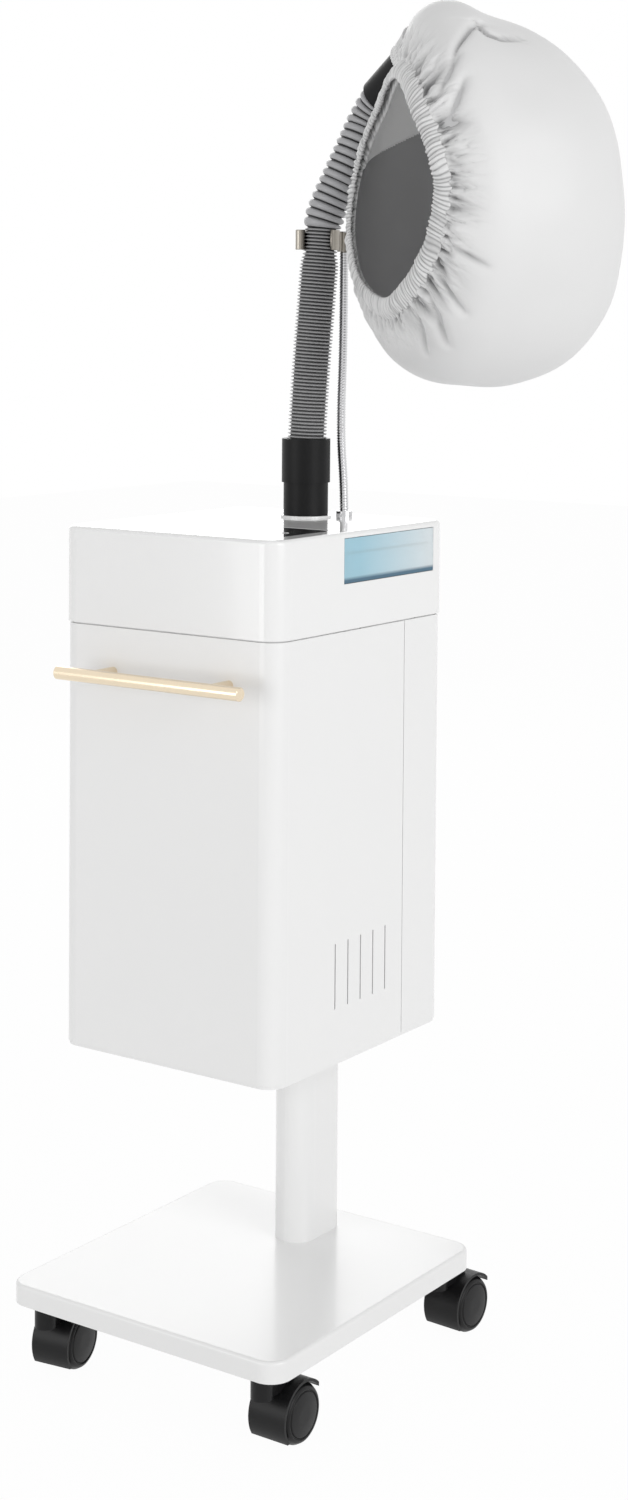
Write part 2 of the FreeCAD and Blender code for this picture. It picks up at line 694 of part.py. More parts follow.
def make_head():
    tall = "head_top - head_low"
    body = rounded_block(
        "head_shell", HEAD_WIDE, HEAD_DEEP, tall, "cabinet_corner + head_over",
        "0", "cabinet_y", "head_low",
    )
    round_edges(body, body.Tip, "head_edge", flat_at(size("head_top")))
    inside = rounded_block(
        "head_inside", f"{HEAD_WIDE} - 2 * head_wall", f"{HEAD_DEEP} - 2 * head_wall",
        f"{tall} - head_wall + 1", "cabinet_corner + head_over - head_wall", "0", "cabinet_y",
        "head_low - 1",
    )
    recess = box(
        "panel_recess", "panel_wide + 2 * seam_gap", "panel_deep + 2 * seam_gap", "10",
        "panel_x", "panel_y", "head_top - panel_thick",
    )
    window = box(
        "window_gap", "40", "window_wide + 2 * slide_gap", "window_tall + 2 * slide_gap",
        "cabinet_width / 2", "tank_y", "tank_low - slide_gap",
    )
    outlet = cylinder(
        "outlet_hole", "spigot_radius + 0.2", "head_wall + 8", "hose_x", "hose_y", "head_top - head_wall - 4"
    )
    arm = cylinder("arm_hole", "arm_radius + 0.6", "20", "arm_x", "arm_y", "head_top - 10")
    cut("head_cover", body, inside, recess, window, outlet, arm)

    # the lip hangs inside the wrap and closes the seam
    fit = "2 * (cabinet_wall + seam_gap)"
    lip = rounded_block(
        "lip_block", f"cabinet_width - {fit}", f"cabinet_depth - {fit}", "2",
        "cabinet_corner - cabinet_wall - seam_gap", "0", "cabinet_y", "head_low - 2",
    )
    inside = rounded_block(
        "lip_inside", f"cabinet_width - {fit} - 10", f"cabinet_depth - {fit} - 10", "4",
        "cabinet_corner - cabinet_wall - seam_gap - 5", "0", "cabinet_y", "head_low - 3",
    )
    gaps = [
        box(f"lip_gap_{side + 2}_{spot}", "24", "20", "6", f"{side} * cabinet_width / 2", y, "head_low - 4")
        for side in (-1, 1)
        for spot, y in enumerate(("rear_seam - 60", "rear_seam + 30"))
    ]
    cut("head_lip", lip, inside, *gaps)

    rounded_block(
        "control_panel", "panel_wide", "panel_deep", "panel_thick - 0.2", "panel_corner",
        "panel_x", "panel_y", "head_top - panel_thick",
    )
    board = box(
        "board_plate", "panel_wide * 0.8", "panel_deep * 0.6", "1.6", "panel_x", "panel_y",
        "head_top - head_wall - 8",
    )
    legs = [
        cylinder(
            f"board_leg_{i}", "3", "6.4", f"panel_x + {sx} * panel_wide * 0.35",
            f"panel_y + {sy} * panel_deep * 0.22", "head_top - head_wall - 6.4",
        )
        for i, (sx, sy) in enumerate(((-1, -1), (1, -1), (-1, 1), (1, 1)))
    ]
    fuse("control_board", board, *legs)


def make_handle():
    axis_y = f"{FRONT} - handle_reach"
    body = new_body("handle_bar")
    section = sketch_on(
        body, "handle_section", "YZ_Plane", axis_y, "handle_z", "handle_x - handle_long / 2"
    )
    bar = pad(body, add_circle(section, "handle_radius"), "handle_long")
    doc.recompute()
    ends = [f"Edge{i}" for i, edge in enumerate(bar.Shape.Edges, 1) if edge.BoundBox.XLength < 0.001]
    bevel = body.newObject("PartDesign::Chamfer", "handle_bevel")
    bevel.Base = (bar, ends)
    bevel.Size = 0.8
    posts = []
    screws = []
    for side in (-1, 1):
        x = f"handle_x + {side} * post_pitch / 2"
        posts.append(
            cylinder(
                f"handle_post_{side + 2}", "post_radius", "handle_reach - handle_radius + 0.9",
                x, f"{axis_y} + handle_radius - 0.9", "handle_z", along="y",
            )
        )
        shank = cylinder(
            f"screw_shank_{side + 2}", "2.5", "cabinet_wall + 6", x, f"{FRONT} - 6", "handle_z", along="y"
        )
        head = cylinder(
            f"screw_head_{side + 2}", "4.5", "3", x, f"{FRONT} + cabinet_wall", "handle_z", along="y"
        )
        screws.append(fuse(f"handle_screw_{side + 2}", shank, head))
    notch = cylinder(
        "handle_notch", "handle_radius", "handle_long", "handle_x - handle_long / 2", axis_y,
        "handle_z", along="x",
    )
    sockets = [
        cylinder(
            f"screw_socket_{side + 2}", "2.5", "8", f"handle_x + {side} * post_pitch / 2",
            f"{FRONT} - 6", "handle_z", along="y",
        )
        for side in (-1, 1)
    ]
    cut("handle_posts", group("handle_post_pair", *posts), notch, *sockets)
    group("handle_screws", *screws)


# ---------------------------------------------------------------- tank

WINDOW_OUT = "cabinet_width / 2 + head_over"
TANK_IN = f"({WINDOW_OUT} - window_thick - tank_deep)"
CAP_X = f"({TANK_IN} + tank_deep / 2)"


def make_tank():
    window = box(
        "tank_window", "window_thick", "window_wide", "window_tall",
        f"{WINDOW_OUT} - window_thick / 2", "tank_y", "tank_low",
    )
    outer = box(
        "tank_outer", "tank_deep + 1", "tank_wide", "tank_tall",
        f"{TANK_IN} + (tank_deep + 1) / 2", "tank_y", "tank_low",
    )
    spout = cylinder(
        "tank_spout", "spout_radius", "spout_long + tank_wall", f"{TANK_IN} - spout_long", "tank_y",
        "tank_low + 9", along="x",
    )
    inner = box(
        "tank_inner", "tank_deep - tank_wall", "tank_wide - 2 * tank_wall",
        "tank_tall - 2 * tank_wall", f"{TANK_IN} + tank_wall + (tank_deep - tank_wall) / 2",
        "tank_y", "tank_low + tank_wall",
    )
    neck = cylinder(
        "tank_neck", "neck_radius", "8", CAP_X, "tank_y", "tank_low + tank_tall - 4"
    )
    bore = cylinder(
        "tank_spout_bore", "spout_radius - 2", "spout_long + tank_wall + 2",
        f"{TANK_IN} - spout_long - 1", "tank_y", "tank_low + 9", along="x",
    )
    cut("water_tank", fuse("tank_mass", window, outer, spout), inner, neck, bore)

    top = "tank_low + tank_tall"
    knob = cylinder("cap_knob", "cap_radius", "cap_tall", CAP_X, "tank_y", f"{top} + 0.1")
    plug = cylinder("cap_plug", "neck_radius - run_gap", "5", CAP_X, "tank_y", f"{top} - 4")
    grips = [
        cylinder(
            f"cap_grip_{i}", "3.5", "cap_tall + 2",
            f"{CAP_X} + (cap_radius + 1.5) * {math.cos(math.radians(i * 45)):.4f}",
            f"tank_y + (cap_radius + 1.5) * {math.sin(math.radians(i * 45)):.4f}", f"{top} + 1.5",
        )
        for i in range(8)
    ]
    cut("tank_cap", fuse("cap_mass", knob, plug), *grips)

    under = "tank_low - tray_thick - slide_gap"
    sheet_x = f"{TANK_IN} + (tank_deep - 6) / 2"
    tray = box("tray_sheet", "tank_deep - 6", "tank_wide + 8", "tray_thick", sheet_x, "tank_y", under)
    rails = [
        box(
            f"tray_rail_{side + 2}", "tank_deep - 6", "2", "12", sheet_x,
            f"tank_y + {side} * (tank_wide / 2 + slide_gap + 1.5)", under,
        )
        for side in (-1, 1)
    ]
    stop = box(
        "tray_stop", "8", "24", "20 + tray_thick", f"{TANK_IN} - slide_gap - 4", "tank_y", under
    )
    socket = cylinder(
        "tray_socket", "spout_radius + run_gap", "14", f"{TANK_IN} - 12", "tank_y",
        "tank_low + 9", along="x",
    )
    foot = box("tray_foot", "20", "24", "tray_thick", f"{TANK_IN} - 2", "tank_y", under)
    cut("tank_tray", fuse("tray_mass", tray, stop, foot, *rails), socket)


# ---------------------------------------------------------------- blower, heater and steam

SHELF_TOP = "(shelf_z + frame_wall)"
SCROLL_Z = f"({SHELF_TOP} + scroll_radius)"
SCROLL_Y = "(hose_y + duct_deep / 2 - scroll_radius)"
TRAY_UNDER = "(tank_low - tray_thick - slide_gap)"


def make_inner_frame():
    deep = "(frame_back - frame_front)"
    middle = "(frame_back + frame_front) / 2"
    floor_top = "cabinet_floor + floor_thick"
    tall = f"{TRAY_UNDER} - ({floor_top})"
    sides = [
        box(
            f"upright_{side + 2}", "frame_wall", deep, tall, f"{side} * (frame_half - frame_wall / 2)",
            middle, floor_top,
        )
        for side in (-1, 1)
    ]
    shelf = box("shelf_low", "2 * frame_half", deep, "frame_wall", "0", middle, "shelf_z")
    top = box(
        "shelf_high", "2 * frame_half", deep, "frame_wall", "0", middle, f"{TRAY_UNDER} - frame_wall"
    )
    feet = [
        box(f"upright_foot_{side + 2}", "14", deep, "frame_wall", f"{side} * (frame_half - 7)", middle, floor_top)
        for side in (-1, 1)
    ]
    well = box(
        "duct_well", "2 * duct_half + 1", "duct_deep + 1", "10", "0", "hose_y", f"{TRAY_UNDER} - 6"
    )
    breath = cylinder("air_hole", "32", "10", "frame_half - 5", SCROLL_Y, SCROLL_Z, along="x")
    arm = cylinder("arm_well", "arm_radius + 0.6", "10", "arm_x", "arm_y", f"{TRAY_UNDER} - 6")
    pipe = cylinder("pipe_well", "4", "10", "12", "tank_y", f"{TRAY_UNDER} - 6")
    cut("inner_frame", fuse("frame_mass", *sides, shelf, top, *feet), well, breath, arm, pipe)


def make_blower():
    drum = cylinder(
        "scroll_drum", "scroll_radius", "2 * scroll_half", "-scroll_half", SCROLL_Y, SCROLL_Z, along="x"
    )
    neck = box(
        "scroll_neck", "2 * scroll_half", "duct_deep", "scroll_radius + 22", "0", "hose_y", SCROLL_Z
    )
    room = cylinder(
        "scroll_room", "scroll_radius - scroll_wall", "2 * (scroll_half - scroll_wall)",
        "scroll_wall - scroll_half", SCROLL_Y, SCROLL_Z, along="x",
    )
    throat = box(
        "scroll_throat", "2 * (scroll_half - scroll_wall)", "duct_deep - 2 * scroll_wall",
        "scroll_radius + 24", "0", "hose_y", SCROLL_Z,
    )
    eye = cylinder("scroll_eye", "32", "10", "scroll_half - 5", SCROLL_Y, SCROLL_Z, along="x")
    back = cylinder(
        "scroll_back", "shaft_radius + 1", "10", "-scroll_half - 5", SCROLL_Y, SCROLL_Z, along="x"
    )
    cut("blower_housing", fuse("scroll_mass", drum, neck), room, throat, eye, back)

    can = cylinder(
        "motor_can", "motor_radius", "frame_half - frame_wall - scroll_half - 1",
        "frame_wall + 1 - frame_half", SCROLL_Y, SCROLL_Z, along="x",
    )
    pads = box(
        "motor_pad", "1.2", "30", "14", "frame_wall + 0.6 - frame_half", SCROLL_Y, f"{SCROLL_Z} - 7"
    )
    shaft = cylinder(
        "motor_shaft", "shaft_radius", "scroll_half + 12", "-scroll_half - 2", SCROLL_Y, SCROLL_Z, along="x"
    )
    fuse("blower_motor", can, pads, shaft)

    hub = cylinder(
        "impeller_hub", "shaft_radius + 5", "impeller_half", "-impeller_half", SCROLL_Y, SCROLL_Z, along="x"
    )
    disc = cylinder(
        "impeller_disc", "impeller_radius", "2", "-impeller_half", SCROLL_Y, SCROLL_Z, along="x"
    )
    rim = tube(
        "impeller_rim", "impeller_radius", "9", "2", "impeller_half - 2", SCROLL_Y, SCROLL_Z, along="x"
    )
    blades = doc.addObject("Part::Feature", "impeller_blades")
    centre_y = size("hose_y") + size("duct_deep") / 2 - size("scroll_radius")
    centre_z = size("shelf_z") + size("frame_wall") + size("scroll_radius")
    half = size("impeller_half")
    blade = Part.makeBox(
        2 * half - 1, 1.2, 8, Vector(0.5 - half, centre_y - 0.6, centre_z + size("impeller_radius") - 8.5)
    )
    middle = Vector(0, centre_y, centre_z)
    copies = []
    for i in range(int(size("blade_count"))):
        copy = blade.copy()
        copy.rotate(middle, Vector(1, 0, 0), 360 * i / size("blade_count"))
        copies.append(copy)
    blades.Shape = Part.makeCompound(copies)
    bore = cylinder(
        "impeller_bore", "shaft_radius + run_gap", "2 * impeller_half + 4", "-impeller_half - 2",
        SCROLL_Y, SCROLL_Z, along="x",
    )
    cut("impeller", fuse("impeller_mass", hub, disc, rim, blades), bore)


def make_heater():
    low = f"({SCROLL_Z} + scroll_radius + 22)"
    outer = box("duct_outer", "2 * duct_half", "duct_deep", f"duct_top - {low}", "0", "hose_y", low)
    inner = box(
        "duct_inner", "2 * duct_half - 4", "duct_deep - 4", f"duct_top - {low} - 1", "0", "hose_y",
        f"{low} - 1",
    )
    hole = cylinder("duct_hole", "spigot_radius", "10", "hose_x", "hose_y", "duct_top - 5")
    cut("heater_duct", outer, inner, hole)

    plates = [
        box("mica_across", "2 * duct_half - 4.4", "1", "50", "0", "hose_y", f"{low} + 4"),
        box("mica_along", "1", "duct_deep - 4.4", "50", "0", "hose_y", f"{low} + 4"),
    ]
    coils = []
    for i in range(5):
        ring = doc.addObject("Part::Torus", f"heater_coil_{i}")
        bind(ring, Radius1="duct_deep / 2 - 8", Radius2="1")
        coils.append(put(ring, "0", "hose_y", f"{low} + {10 + 9 * i}"))
    fuse("heater_element", *plates, *coils)

    pot = cylinder("boiler_pot", "26", "62", "-36", "-38", SHELF_TOP)
    lid = cylinder("boiler_lid", "29", "5", "-36", "-38", f"{SHELF_TOP} + 62")
    fuse("steam_boiler", pot, lid)
    box("water_pump", "34", "34", "42", "40", "-46", SHELF_TOP)

    shelf = size("shelf_z") + size("frame_wall")
    pump_top = shelf + 42
    lid_top = shelf + 67
    spout_x = size("cabinet_width") / 2 + size("head_over") - size("window_thick")
    spout_x -= size("tank_deep") + 12
    spout_z = size("tank_low") + 9
    front_of_duct = size("hose_y") - size("duct_deep") / 2
    feed = [
        (48, -46, pump_top), (48, -46, 690), (12, -10, 690), (12, size("tank_y"), 690),
        (12, size("tank_y"), spout_z), (spout_x + 4, size("tank_y"), spout_z),
    ]
    push = [(30, -46, pump_top), (30, -46, 600), (-26, -46, 600), (-26, -46, lid_top)]
    steam = [(-44, -34, lid_top), (-44, -34, 660), (-10, 20, 660), (-10, front_of_duct, 660)]
    lines = [
        route_feature(f"pipe_{i}", points, 9, 3) for i, points in enumerate((feed, push, steam))
    ]
    group("water_pipes", *lines)
    box("power_board", "2 * frame_half", "1.6", "150", "0", "frame_front - 0.8", "520")


def make_power_entry():
    """Mains inlet and its screws, and the rocker with its frame, in the rear cover."""
    body = box("inlet_body", "28", "24", "20", "-50", f"{REAR} - 12", "335")
    flange = box("inlet_flange", "48", "2.5", "24", "-50", f"{REAR} + 1.25", "333")
    pit = box("inlet_pit", "22", "30", "14", "-50", f"{REAR} - 2", "338")
    pins = [
        box(f"inlet_pin_{i}", "2", "16", "4", f"-50 + {x}", f"{REAR} - 10", f"{z}")
        for i, (x, z) in enumerate(((-7, 340), (7, 340), (0, 346)))
    ]
    fuse("power_inlet", cut("inlet_shell", fuse("inlet_mass", body, flange), pit), *pins)

    ring = box("switch_ring", "26", "2", "20", "50", f"{REAR} + 1", "335")
    can = box("switch_can", "22", "16", "16", "50", f"{REAR} - 8", "337")
    hole = box("switch_hole", "18.6", "14", "12.6", "50", f"{REAR} - 2.5", "338.7")
    cut("switch_frame", fuse("switch_mass", ring, can), hole)
    paddle = box("rocker_block", "18", "8", "10", "50", f"{REAR} - 0.6", "340")
    spindle = cylinder("rocker_spindle", "1.5", "18", "41", f"{REAR} - 2", "345", along="x")
    fuse("power_rocker", paddle, spindle)


# ---------------------------------------------------------------- hose, arm and clip


def arm_points():
    """The flexible arm: up from its socket, a slight S, to the clip."""
    x, y = size("arm_x"), size("arm_y")
    return [(x, y, 700), (x, y, 800), (20.5, 114.4, 856), (22.8, 116, 950), (22.1, 116.1, 1044)]


def lower_hose_points():
    """From inside the lower cuff to the clip."""
    x, y = size("hose_x"), size("hose_y")
    return [(x, y, size("spigot_top") + 3), (x, y, 862), (11.5, 93.5, 1034), (12.1, 93.8, 1046)]


END_CUFF_WAY = Vector(0.791, -0.2035, 0.577).normalize()
END_CUFF_START = Vector(61.6, 118.8, 1168)


def upper_hose_points():
    """From the clip up and over to the cuff at the bonnet."""
    corner = END_CUFF_START - END_CUFF_WAY * 15
    inside = END_CUFF_START + END_CUFF_WAY * 10
    return [
        (12.125, 93.8125, 1046.5), (12.6, 94.05, 1056), (37, 109, 1118), tuple(corner), tuple(inside)
    ]


def make_hose():
    tube_low = tube(
        "outlet_tube", "spigot_radius", "spigot_wall", "spigot_top - duct_top", "hose_x", "hose_y", "duct_top"
    )
    ring = tube(
        "outlet_ring", "collar_radius", "collar_radius - spigot_radius", "collar_tall",
        "hose_x", "hose_y", "head_top",
    )
    fuse("outlet_collar", tube_low, ring)

    low = cylinder(
        "cuff_low", "cuff_low_radius", "cuff_step - cuff_floor", "hose_x", "hose_y", "cuff_floor"
    )
    high = cylinder("cuff_high", "cuff_radius", "cuff_top - cuff_step", "hose_x", "hose_y", "cuff_step")
    seat = cylinder(
        "cuff_seat", "spigot_radius + 0.1", "spigot_top - cuff_floor + 4", "hose_x", "hose_y",
        "cuff_floor - 1",
    )
    mouth = cylinder(
        "cuff_mouth", "hose_radius + seat_gap", "60", "hose_x", "hose_y", "spigot_top + 2.8"
    )
    cut("lower_cuff", fuse("cuff_mass", low, high), seat, mouth)

    bore = size("hose_radius") - size("hose_wall")
    route_feature("lower_hose", lower_hose_points(), 160, size("hose_radius"), bore)
    route_feature("upper_hose", upper_hose_points(), 40, size("hose_radius"), bore)

    cuff = tube(
        "end_cuff_tube", "end_cuff_radius", "end_cuff_radius - hose_radius - seat_gap", "end_cuff_long"
    )
    seat = tube(
        "end_cuff_stop", "end_cuff_radius", "5", "end_cuff_long - 11", z="11"
    )
    upper = fuse("upper_cuff", cuff, seat)
    upper.Placement = Placement(END_CUFF_START, Rotation(Vector(0, 0, 1), END_CUFF_WAY))


def make_arm():
    route_feature("gooseneck", arm_points(), 90, size("arm_radius"))
    tube(
        "arm_socket", "socket_radius", "socket_radius - arm_radius - 0.2", "socket_tall", "arm_x",
        "arm_y", "head_top",
    )
    tube("arm_anchor", "8", "8 - arm_radius", "8", "arm_x", "arm_y", TRAY_UNDER)

    # the clip is a C of spring sheet that opens towards the front left
    middle = Vector(11.5, 93.5, 1034)
    inner = size("hose_radius") + size("clip_gap")
    outer = inner + size("clip_thick")
    tall = size("clip_height")
    ring = Part.makeCylinder(outer, tall, Vector(0, 0, -tall / 2), Vector(0, 0, 1), 250)
    ring = ring.cut(Part.makeCylinder(inner, tall + 2, Vector(0, 0, -tall / 2 - 1)))
    lip = Part.makeBox(6.5, 4.5, tall, Vector(inner, -4, -tall / 2))
    lip = lip.makeFillet(2, [e for e in lip.Edges if upright(e)])
    clip = ring.fuse(lip)
    feature = doc.addObject("Part::Feature", "hose_clip")
    feature.Shape = clip
    feature.Placement = Placement(middle, Rotation(Vector(0, 0, 1), -67))

    holder = doc.addObject("Part::Feature", "clip_holder")
    arm_top = Vector(22.1, 116.1, middle.z - 9)
    away = Vector(arm_top.x - middle.x, arm_top.y - middle.y, 0)
    reach = away.Length
    sleeve = Part.makeCylinder(size("arm_radius") + 2.2, 18, Vector(reach, 0, 0))
    sleeve = sleeve.cut(Part.makeCylinder(size("arm_radius") + 0.3, 20, Vector(reach, 0, -1)))
    sleeve = sleeve.cut(Part.makeCylinder(outer, 20, Vector(0, 0, -1)))
    holder.Shape = sleeve
    angle = math.degrees(math.atan2(away.y, away.x))
    holder.Placement = Placement(
        Vector(middle.x, middle.y, arm_top.z), Rotation(Vector(0, 0, 1), angle)
    )


# ---------------------------------------------------------------- bonnet


def fullness(reach, back, end):
    """The bonnet's curve: the share of its widest size at a distance from the widest place.

    The curve reaches the share that end gives at the distance that back gives.
    """
    power = "bonnet_power"
    edge = f"pow(1 - pow({end}; {power}); 1 / {power})"
    return f"pow(1 - pow({reach} / ({back}) * {edge}; {power}); 1 / {power})"


def bonnet_loft(name, wall):
    """A loft through ellipses along +Y, inset all round by a wall."""
    sections = []
    shares = (0, 0.05, 0.14, 0.25, 0.34, 0.48, 0.62, 0.76, 0.88, 0.95, 1)
    wide_most = f"(bonnet_width / 2 - {wall})"
    high_most = f"(bonnet_height / 2 - {wall})"
    front_end = f"(mouth_radius + bonnet_wall - {wall} / 2)"
    for i, share in enumerate(shares):
        ellipse = doc.addObject("Part::Ellipse", f"{name}_section_{i}")
        place = f"({wall} + (bonnet_long - 2 * {wall}) * {share})"
        if size("bonnet_long") * share <= size("bonnet_front"):
            reach = f"abs(bonnet_front - {place})"
            back = f"bonnet_front - {wall}"
            ends = (front_end, front_end)
        else:
            reach = f"abs({place} - bonnet_front)"
            back = f"bonnet_long - bonnet_front - {wall}"
            ends = tuple(f"(bonnet_{way} / 2 * bonnet_blunt - {wall})" for way in ("width", "height"))
        wide = f"{wide_most} * {fullness(reach, back, f'{ends[0]} / {wide_most}')}"
        high = f"{high_most} * {fullness(reach, back, f'{ends[1]} / {high_most}')}"
        ellipse.Placement = Placement(
            Vector(), Rotation(Vector(1, 0, 0), 90) * Rotation(Vector(0, 0, 1), 90)
        )
        # the bonnet is higher than wide, except at the round opening
        bind(ellipse, MajorRadius=f"{high} + 0.01", MinorRadius=wide)
        ellipse.setExpression("Placement.Base.y", linked(place))
        ellipse.setExpression("Placement.Base.z", linked(f"0 - bonnet_sag * {share}"))
        sections.append(ellipse)
    loft = doc.addObject("Part::Loft", name)
    loft.Sections = sections
    loft.Solid = True
    return loft


def in_bonnet(obj):
    """Places what was drawn along +Y at the bonnet's own place."""
    obj.Placement = Placement(Vector(), Rotation(Vector(0, 0, 1), -size("bonnet_turn")))
    for axis in "xyz":
        obj.setExpression(f"Placement.Base.{axis}", linked(f"bonnet_{axis}"))
    return obj


def ring_round(name, radius, wide, high, y, z):
    """A round wire or hem swept round an upright ellipse."""
    spine = doc.addObject("Part::Ellipse", f"{name}_path")
    spine.Placement = Placement(
        Vector(), Rotation(Vector(1, 0, 0), 90) * Rotation(Vector(0, 0, 1), 90)
    )
    bind(spine, MajorRadius=high, MinorRadius=wide)
    spine.setExpression("Placement.Base.y", linked(y))
    spine.setExpression("Placement.Base.z", linked(z))
    section = doc.addObject("Part::Circle", f"{name}_section")
    section.Placement = Placement(Vector(), Rotation(Vector(0, 1, 0), 90))
    bind(section, Radius=radius)
    section.setExpression("Placement.Base.y", linked(y))
    section.setExpression("Placement.Base.z", linked(f"{z} + {high}"))
    sweep = doc.addObject("Part::Sweep", name)
    sweep.Sections = [section]
    sweep.Spine = (spine, ["Edge1"])
    sweep.Solid = True
    return sweep


def port_place(along):
    """A place on the end cuff's axis, facing along it."""
    middle = END_CUFF_START + END_CUFF_WAY * (size("end_cuff_long") - size("port_long") + along)
    return Placement(middle, Rotation(Vector(0, 0, 1), END_CUFF_WAY))


def before_placing(place):
    """The same place, as seen before the bonnet is put in its own place."""
    bonnet_place = Placement(
        Vector(size("bonnet_x"), size("bonnet_y"), size("bonnet_z")),
        Rotation(Vector(0, 0, 1), -size("bonnet_turn")),
    )
    return bonnet_place.inverse() * place


def port_bore(name, radius, tall, along):
    """Clear room round the end cuff, or round the ring on it."""
    bore = doc.addObject("Part::Cylinder", name)
    bind(bore, Radius=radius, Height=tall)
    bore.Placement = before_placing(port_place(along))
    return bore


def sleeve_loft(name, inset, mouth_shift):
    """The fabric sleeve from the port ring into the bonnet, drawn before the bonnet is placed."""
    mouth = doc.addObject("Part::Circle", f"{name}_mouth")
    mouth.Placement = before_placing(port_place(2 + mouth_shift))
    bind(mouth, Radius=f"end_cuff_radius + port_thick + seat_gap + bonnet_wall - {inset}")
    middle = Vector(size("sleeve_side"), size("sleeve_deep"), size("sleeve_high"))
    way = (middle - mouth.Placement.Base).normalize()
    end = doc.addObject("Part::Circle", f"{name}_end")
    end.Placement = Placement(middle - way * mouth_shift, Rotation(Vector(0, 0, 1), way))
    bind(end, Radius=f"sleeve_radius - {inset}")
    loft = doc.addObject("Part::Loft", name)
    loft.Sections = [mouth, end]
    loft.Solid = True
    return loft


def make_bonnet():
    room = bonnet_loft("bonnet_inside", "bonnet_wall")
    skin = cut("bonnet_skin", bonnet_loft("bonnet_outside", "0"), room)
    mouth = cylinder("bonnet_mouth", "mouth_radius", "3 * bonnet_wall", "0", "0 - bonnet_wall", "0", "y")
    sleeve = sleeve_loft("sleeve_outside", "0", 0)
    sleeve_wall = cut(
        "sleeve_wall", cut("sleeve_tube", sleeve, sleeve_loft("sleeve_inside", "bonnet_wall", -1)), room
    )
    skin = cut("bonnet_opened", cut("bonnet_mouthed", skin, mouth), sleeve)
    cloth = fuse("bonnet_cloth", skin, sleeve_wall)
    clear = "end_cuff_radius + 2 * seat_gap"
    cloth = cut("bonnet_round_cuff", cloth, port_bore("cuff_bore", clear, "end_cuff_long", -44))
    clear = "end_cuff_radius + port_thick + seat_gap"
    in_bonnet(cut("bonnet", cloth, port_bore("ring_bore", clear, "port_long + 12", -0.5)))

    # the port ring turns on the cuff and carries the bonnet
    port = tube("port_ring", "end_cuff_radius + port_thick", "port_thick - run_gap", "port_long")
    port.Placement = port_place(0)

    hem = ring_round(
        "hem_ring", "hem_radius", "mouth_radius + hem_radius", "mouth_radius + hem_radius + 0.01",
        "-hem_radius", "0",
    )
    in_bonnet(hem)


def make_all():
    make_base()
    make_casters()
    make_column()
    make_wrap()
    make_rear_cover()
    make_floor()
    make_head()
    make_handle()
    make_tank()
    make_inner_frame()
    make_blower()
    make_heater()
    make_power_entry()
    make_hose()
    make_arm()
    make_bonnet()


make_all()
doc.recompute()

# ---------------------------------------------------------------- nodes

NODES = {
    name: name
    for name in (
        "base_pan", "base_cover", "base_ballast", "caster_stems", "column", "column_plugs",
        "column_bolts", "column_top_plate", "cabinet_shell", "rear_cover", "cabinet_floor_plate",
        "cabinet_clips", "head_cover", "head_lip", "control_panel", "control_board", "handle_bar",
        "handle_posts", "handle_screws", "water_tank", "tank_cap", "tank_tray", "inner_frame",
        "blower_housing", "blower_motor", "impeller", "heater_duct", "heater_element",
        "steam_boiler", "water_pump", "water_pipes", "power_board", "power_inlet", "switch_frame",
        "power_rocker", "outlet_collar", "lower_cuff", "lower_hose", "upper_hose", "upper_cuff",
        "gooseneck", "arm_socket", "arm_anchor", "hose_clip", "clip_holder", "bonnet", "hem_ring",
        "port_ring",
    )
}
for caster in CASTER_NAMES:
    for piece in (f"caster_fork_{caster}", f"caster_wheel_{caster}_inner", f"caster_wheel_{caster}_outer"):
        NODES[piece] = piece

for obj in doc.Objects:
    if any(word in obj.State for word in ("Invalid", "Error")):
        raise ValueError(f"{obj.Name} is {obj.State}")
for node, name in NODES.items():
    shape = doc.getObject(name).Shape
    if shape.isNull() or not shape.isValid() or not shape.Solids:
        raise ValueError(f"{name} has no valid solid")
    shape.exportStep(f"parts/{node}.step")
print(len(NODES), "nodes")
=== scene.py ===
"""Looks for the hood hair dryer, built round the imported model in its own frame, in metres."""
import json
import math

import bpy
import numpy as np
from mathutils import Matrix, Vector, noise
from mathutils.bvhtree import BVHTree

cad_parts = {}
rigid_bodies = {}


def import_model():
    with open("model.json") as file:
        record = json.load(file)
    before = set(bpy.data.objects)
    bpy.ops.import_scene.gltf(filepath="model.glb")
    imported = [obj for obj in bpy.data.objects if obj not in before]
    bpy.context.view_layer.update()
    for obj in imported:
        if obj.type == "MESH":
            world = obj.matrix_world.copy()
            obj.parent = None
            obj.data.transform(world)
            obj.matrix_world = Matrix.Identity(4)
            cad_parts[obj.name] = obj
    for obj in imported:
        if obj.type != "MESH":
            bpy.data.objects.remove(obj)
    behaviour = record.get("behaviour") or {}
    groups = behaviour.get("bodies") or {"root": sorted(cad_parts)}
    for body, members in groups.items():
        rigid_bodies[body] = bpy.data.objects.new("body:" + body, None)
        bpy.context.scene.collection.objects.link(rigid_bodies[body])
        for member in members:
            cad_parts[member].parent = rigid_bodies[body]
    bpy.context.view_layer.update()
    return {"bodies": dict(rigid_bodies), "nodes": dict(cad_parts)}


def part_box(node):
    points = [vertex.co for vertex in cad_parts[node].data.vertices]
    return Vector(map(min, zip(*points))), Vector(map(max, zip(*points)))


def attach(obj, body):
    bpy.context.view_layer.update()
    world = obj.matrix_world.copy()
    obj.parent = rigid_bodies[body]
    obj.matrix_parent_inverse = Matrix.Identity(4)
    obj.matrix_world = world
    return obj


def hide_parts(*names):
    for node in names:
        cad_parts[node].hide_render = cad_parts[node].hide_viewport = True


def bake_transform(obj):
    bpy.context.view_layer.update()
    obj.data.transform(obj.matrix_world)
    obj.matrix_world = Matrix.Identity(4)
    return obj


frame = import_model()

MM = 0.001
nodes = frame["nodes"]


# ---------------------------------------------------------------- camera, floor and light

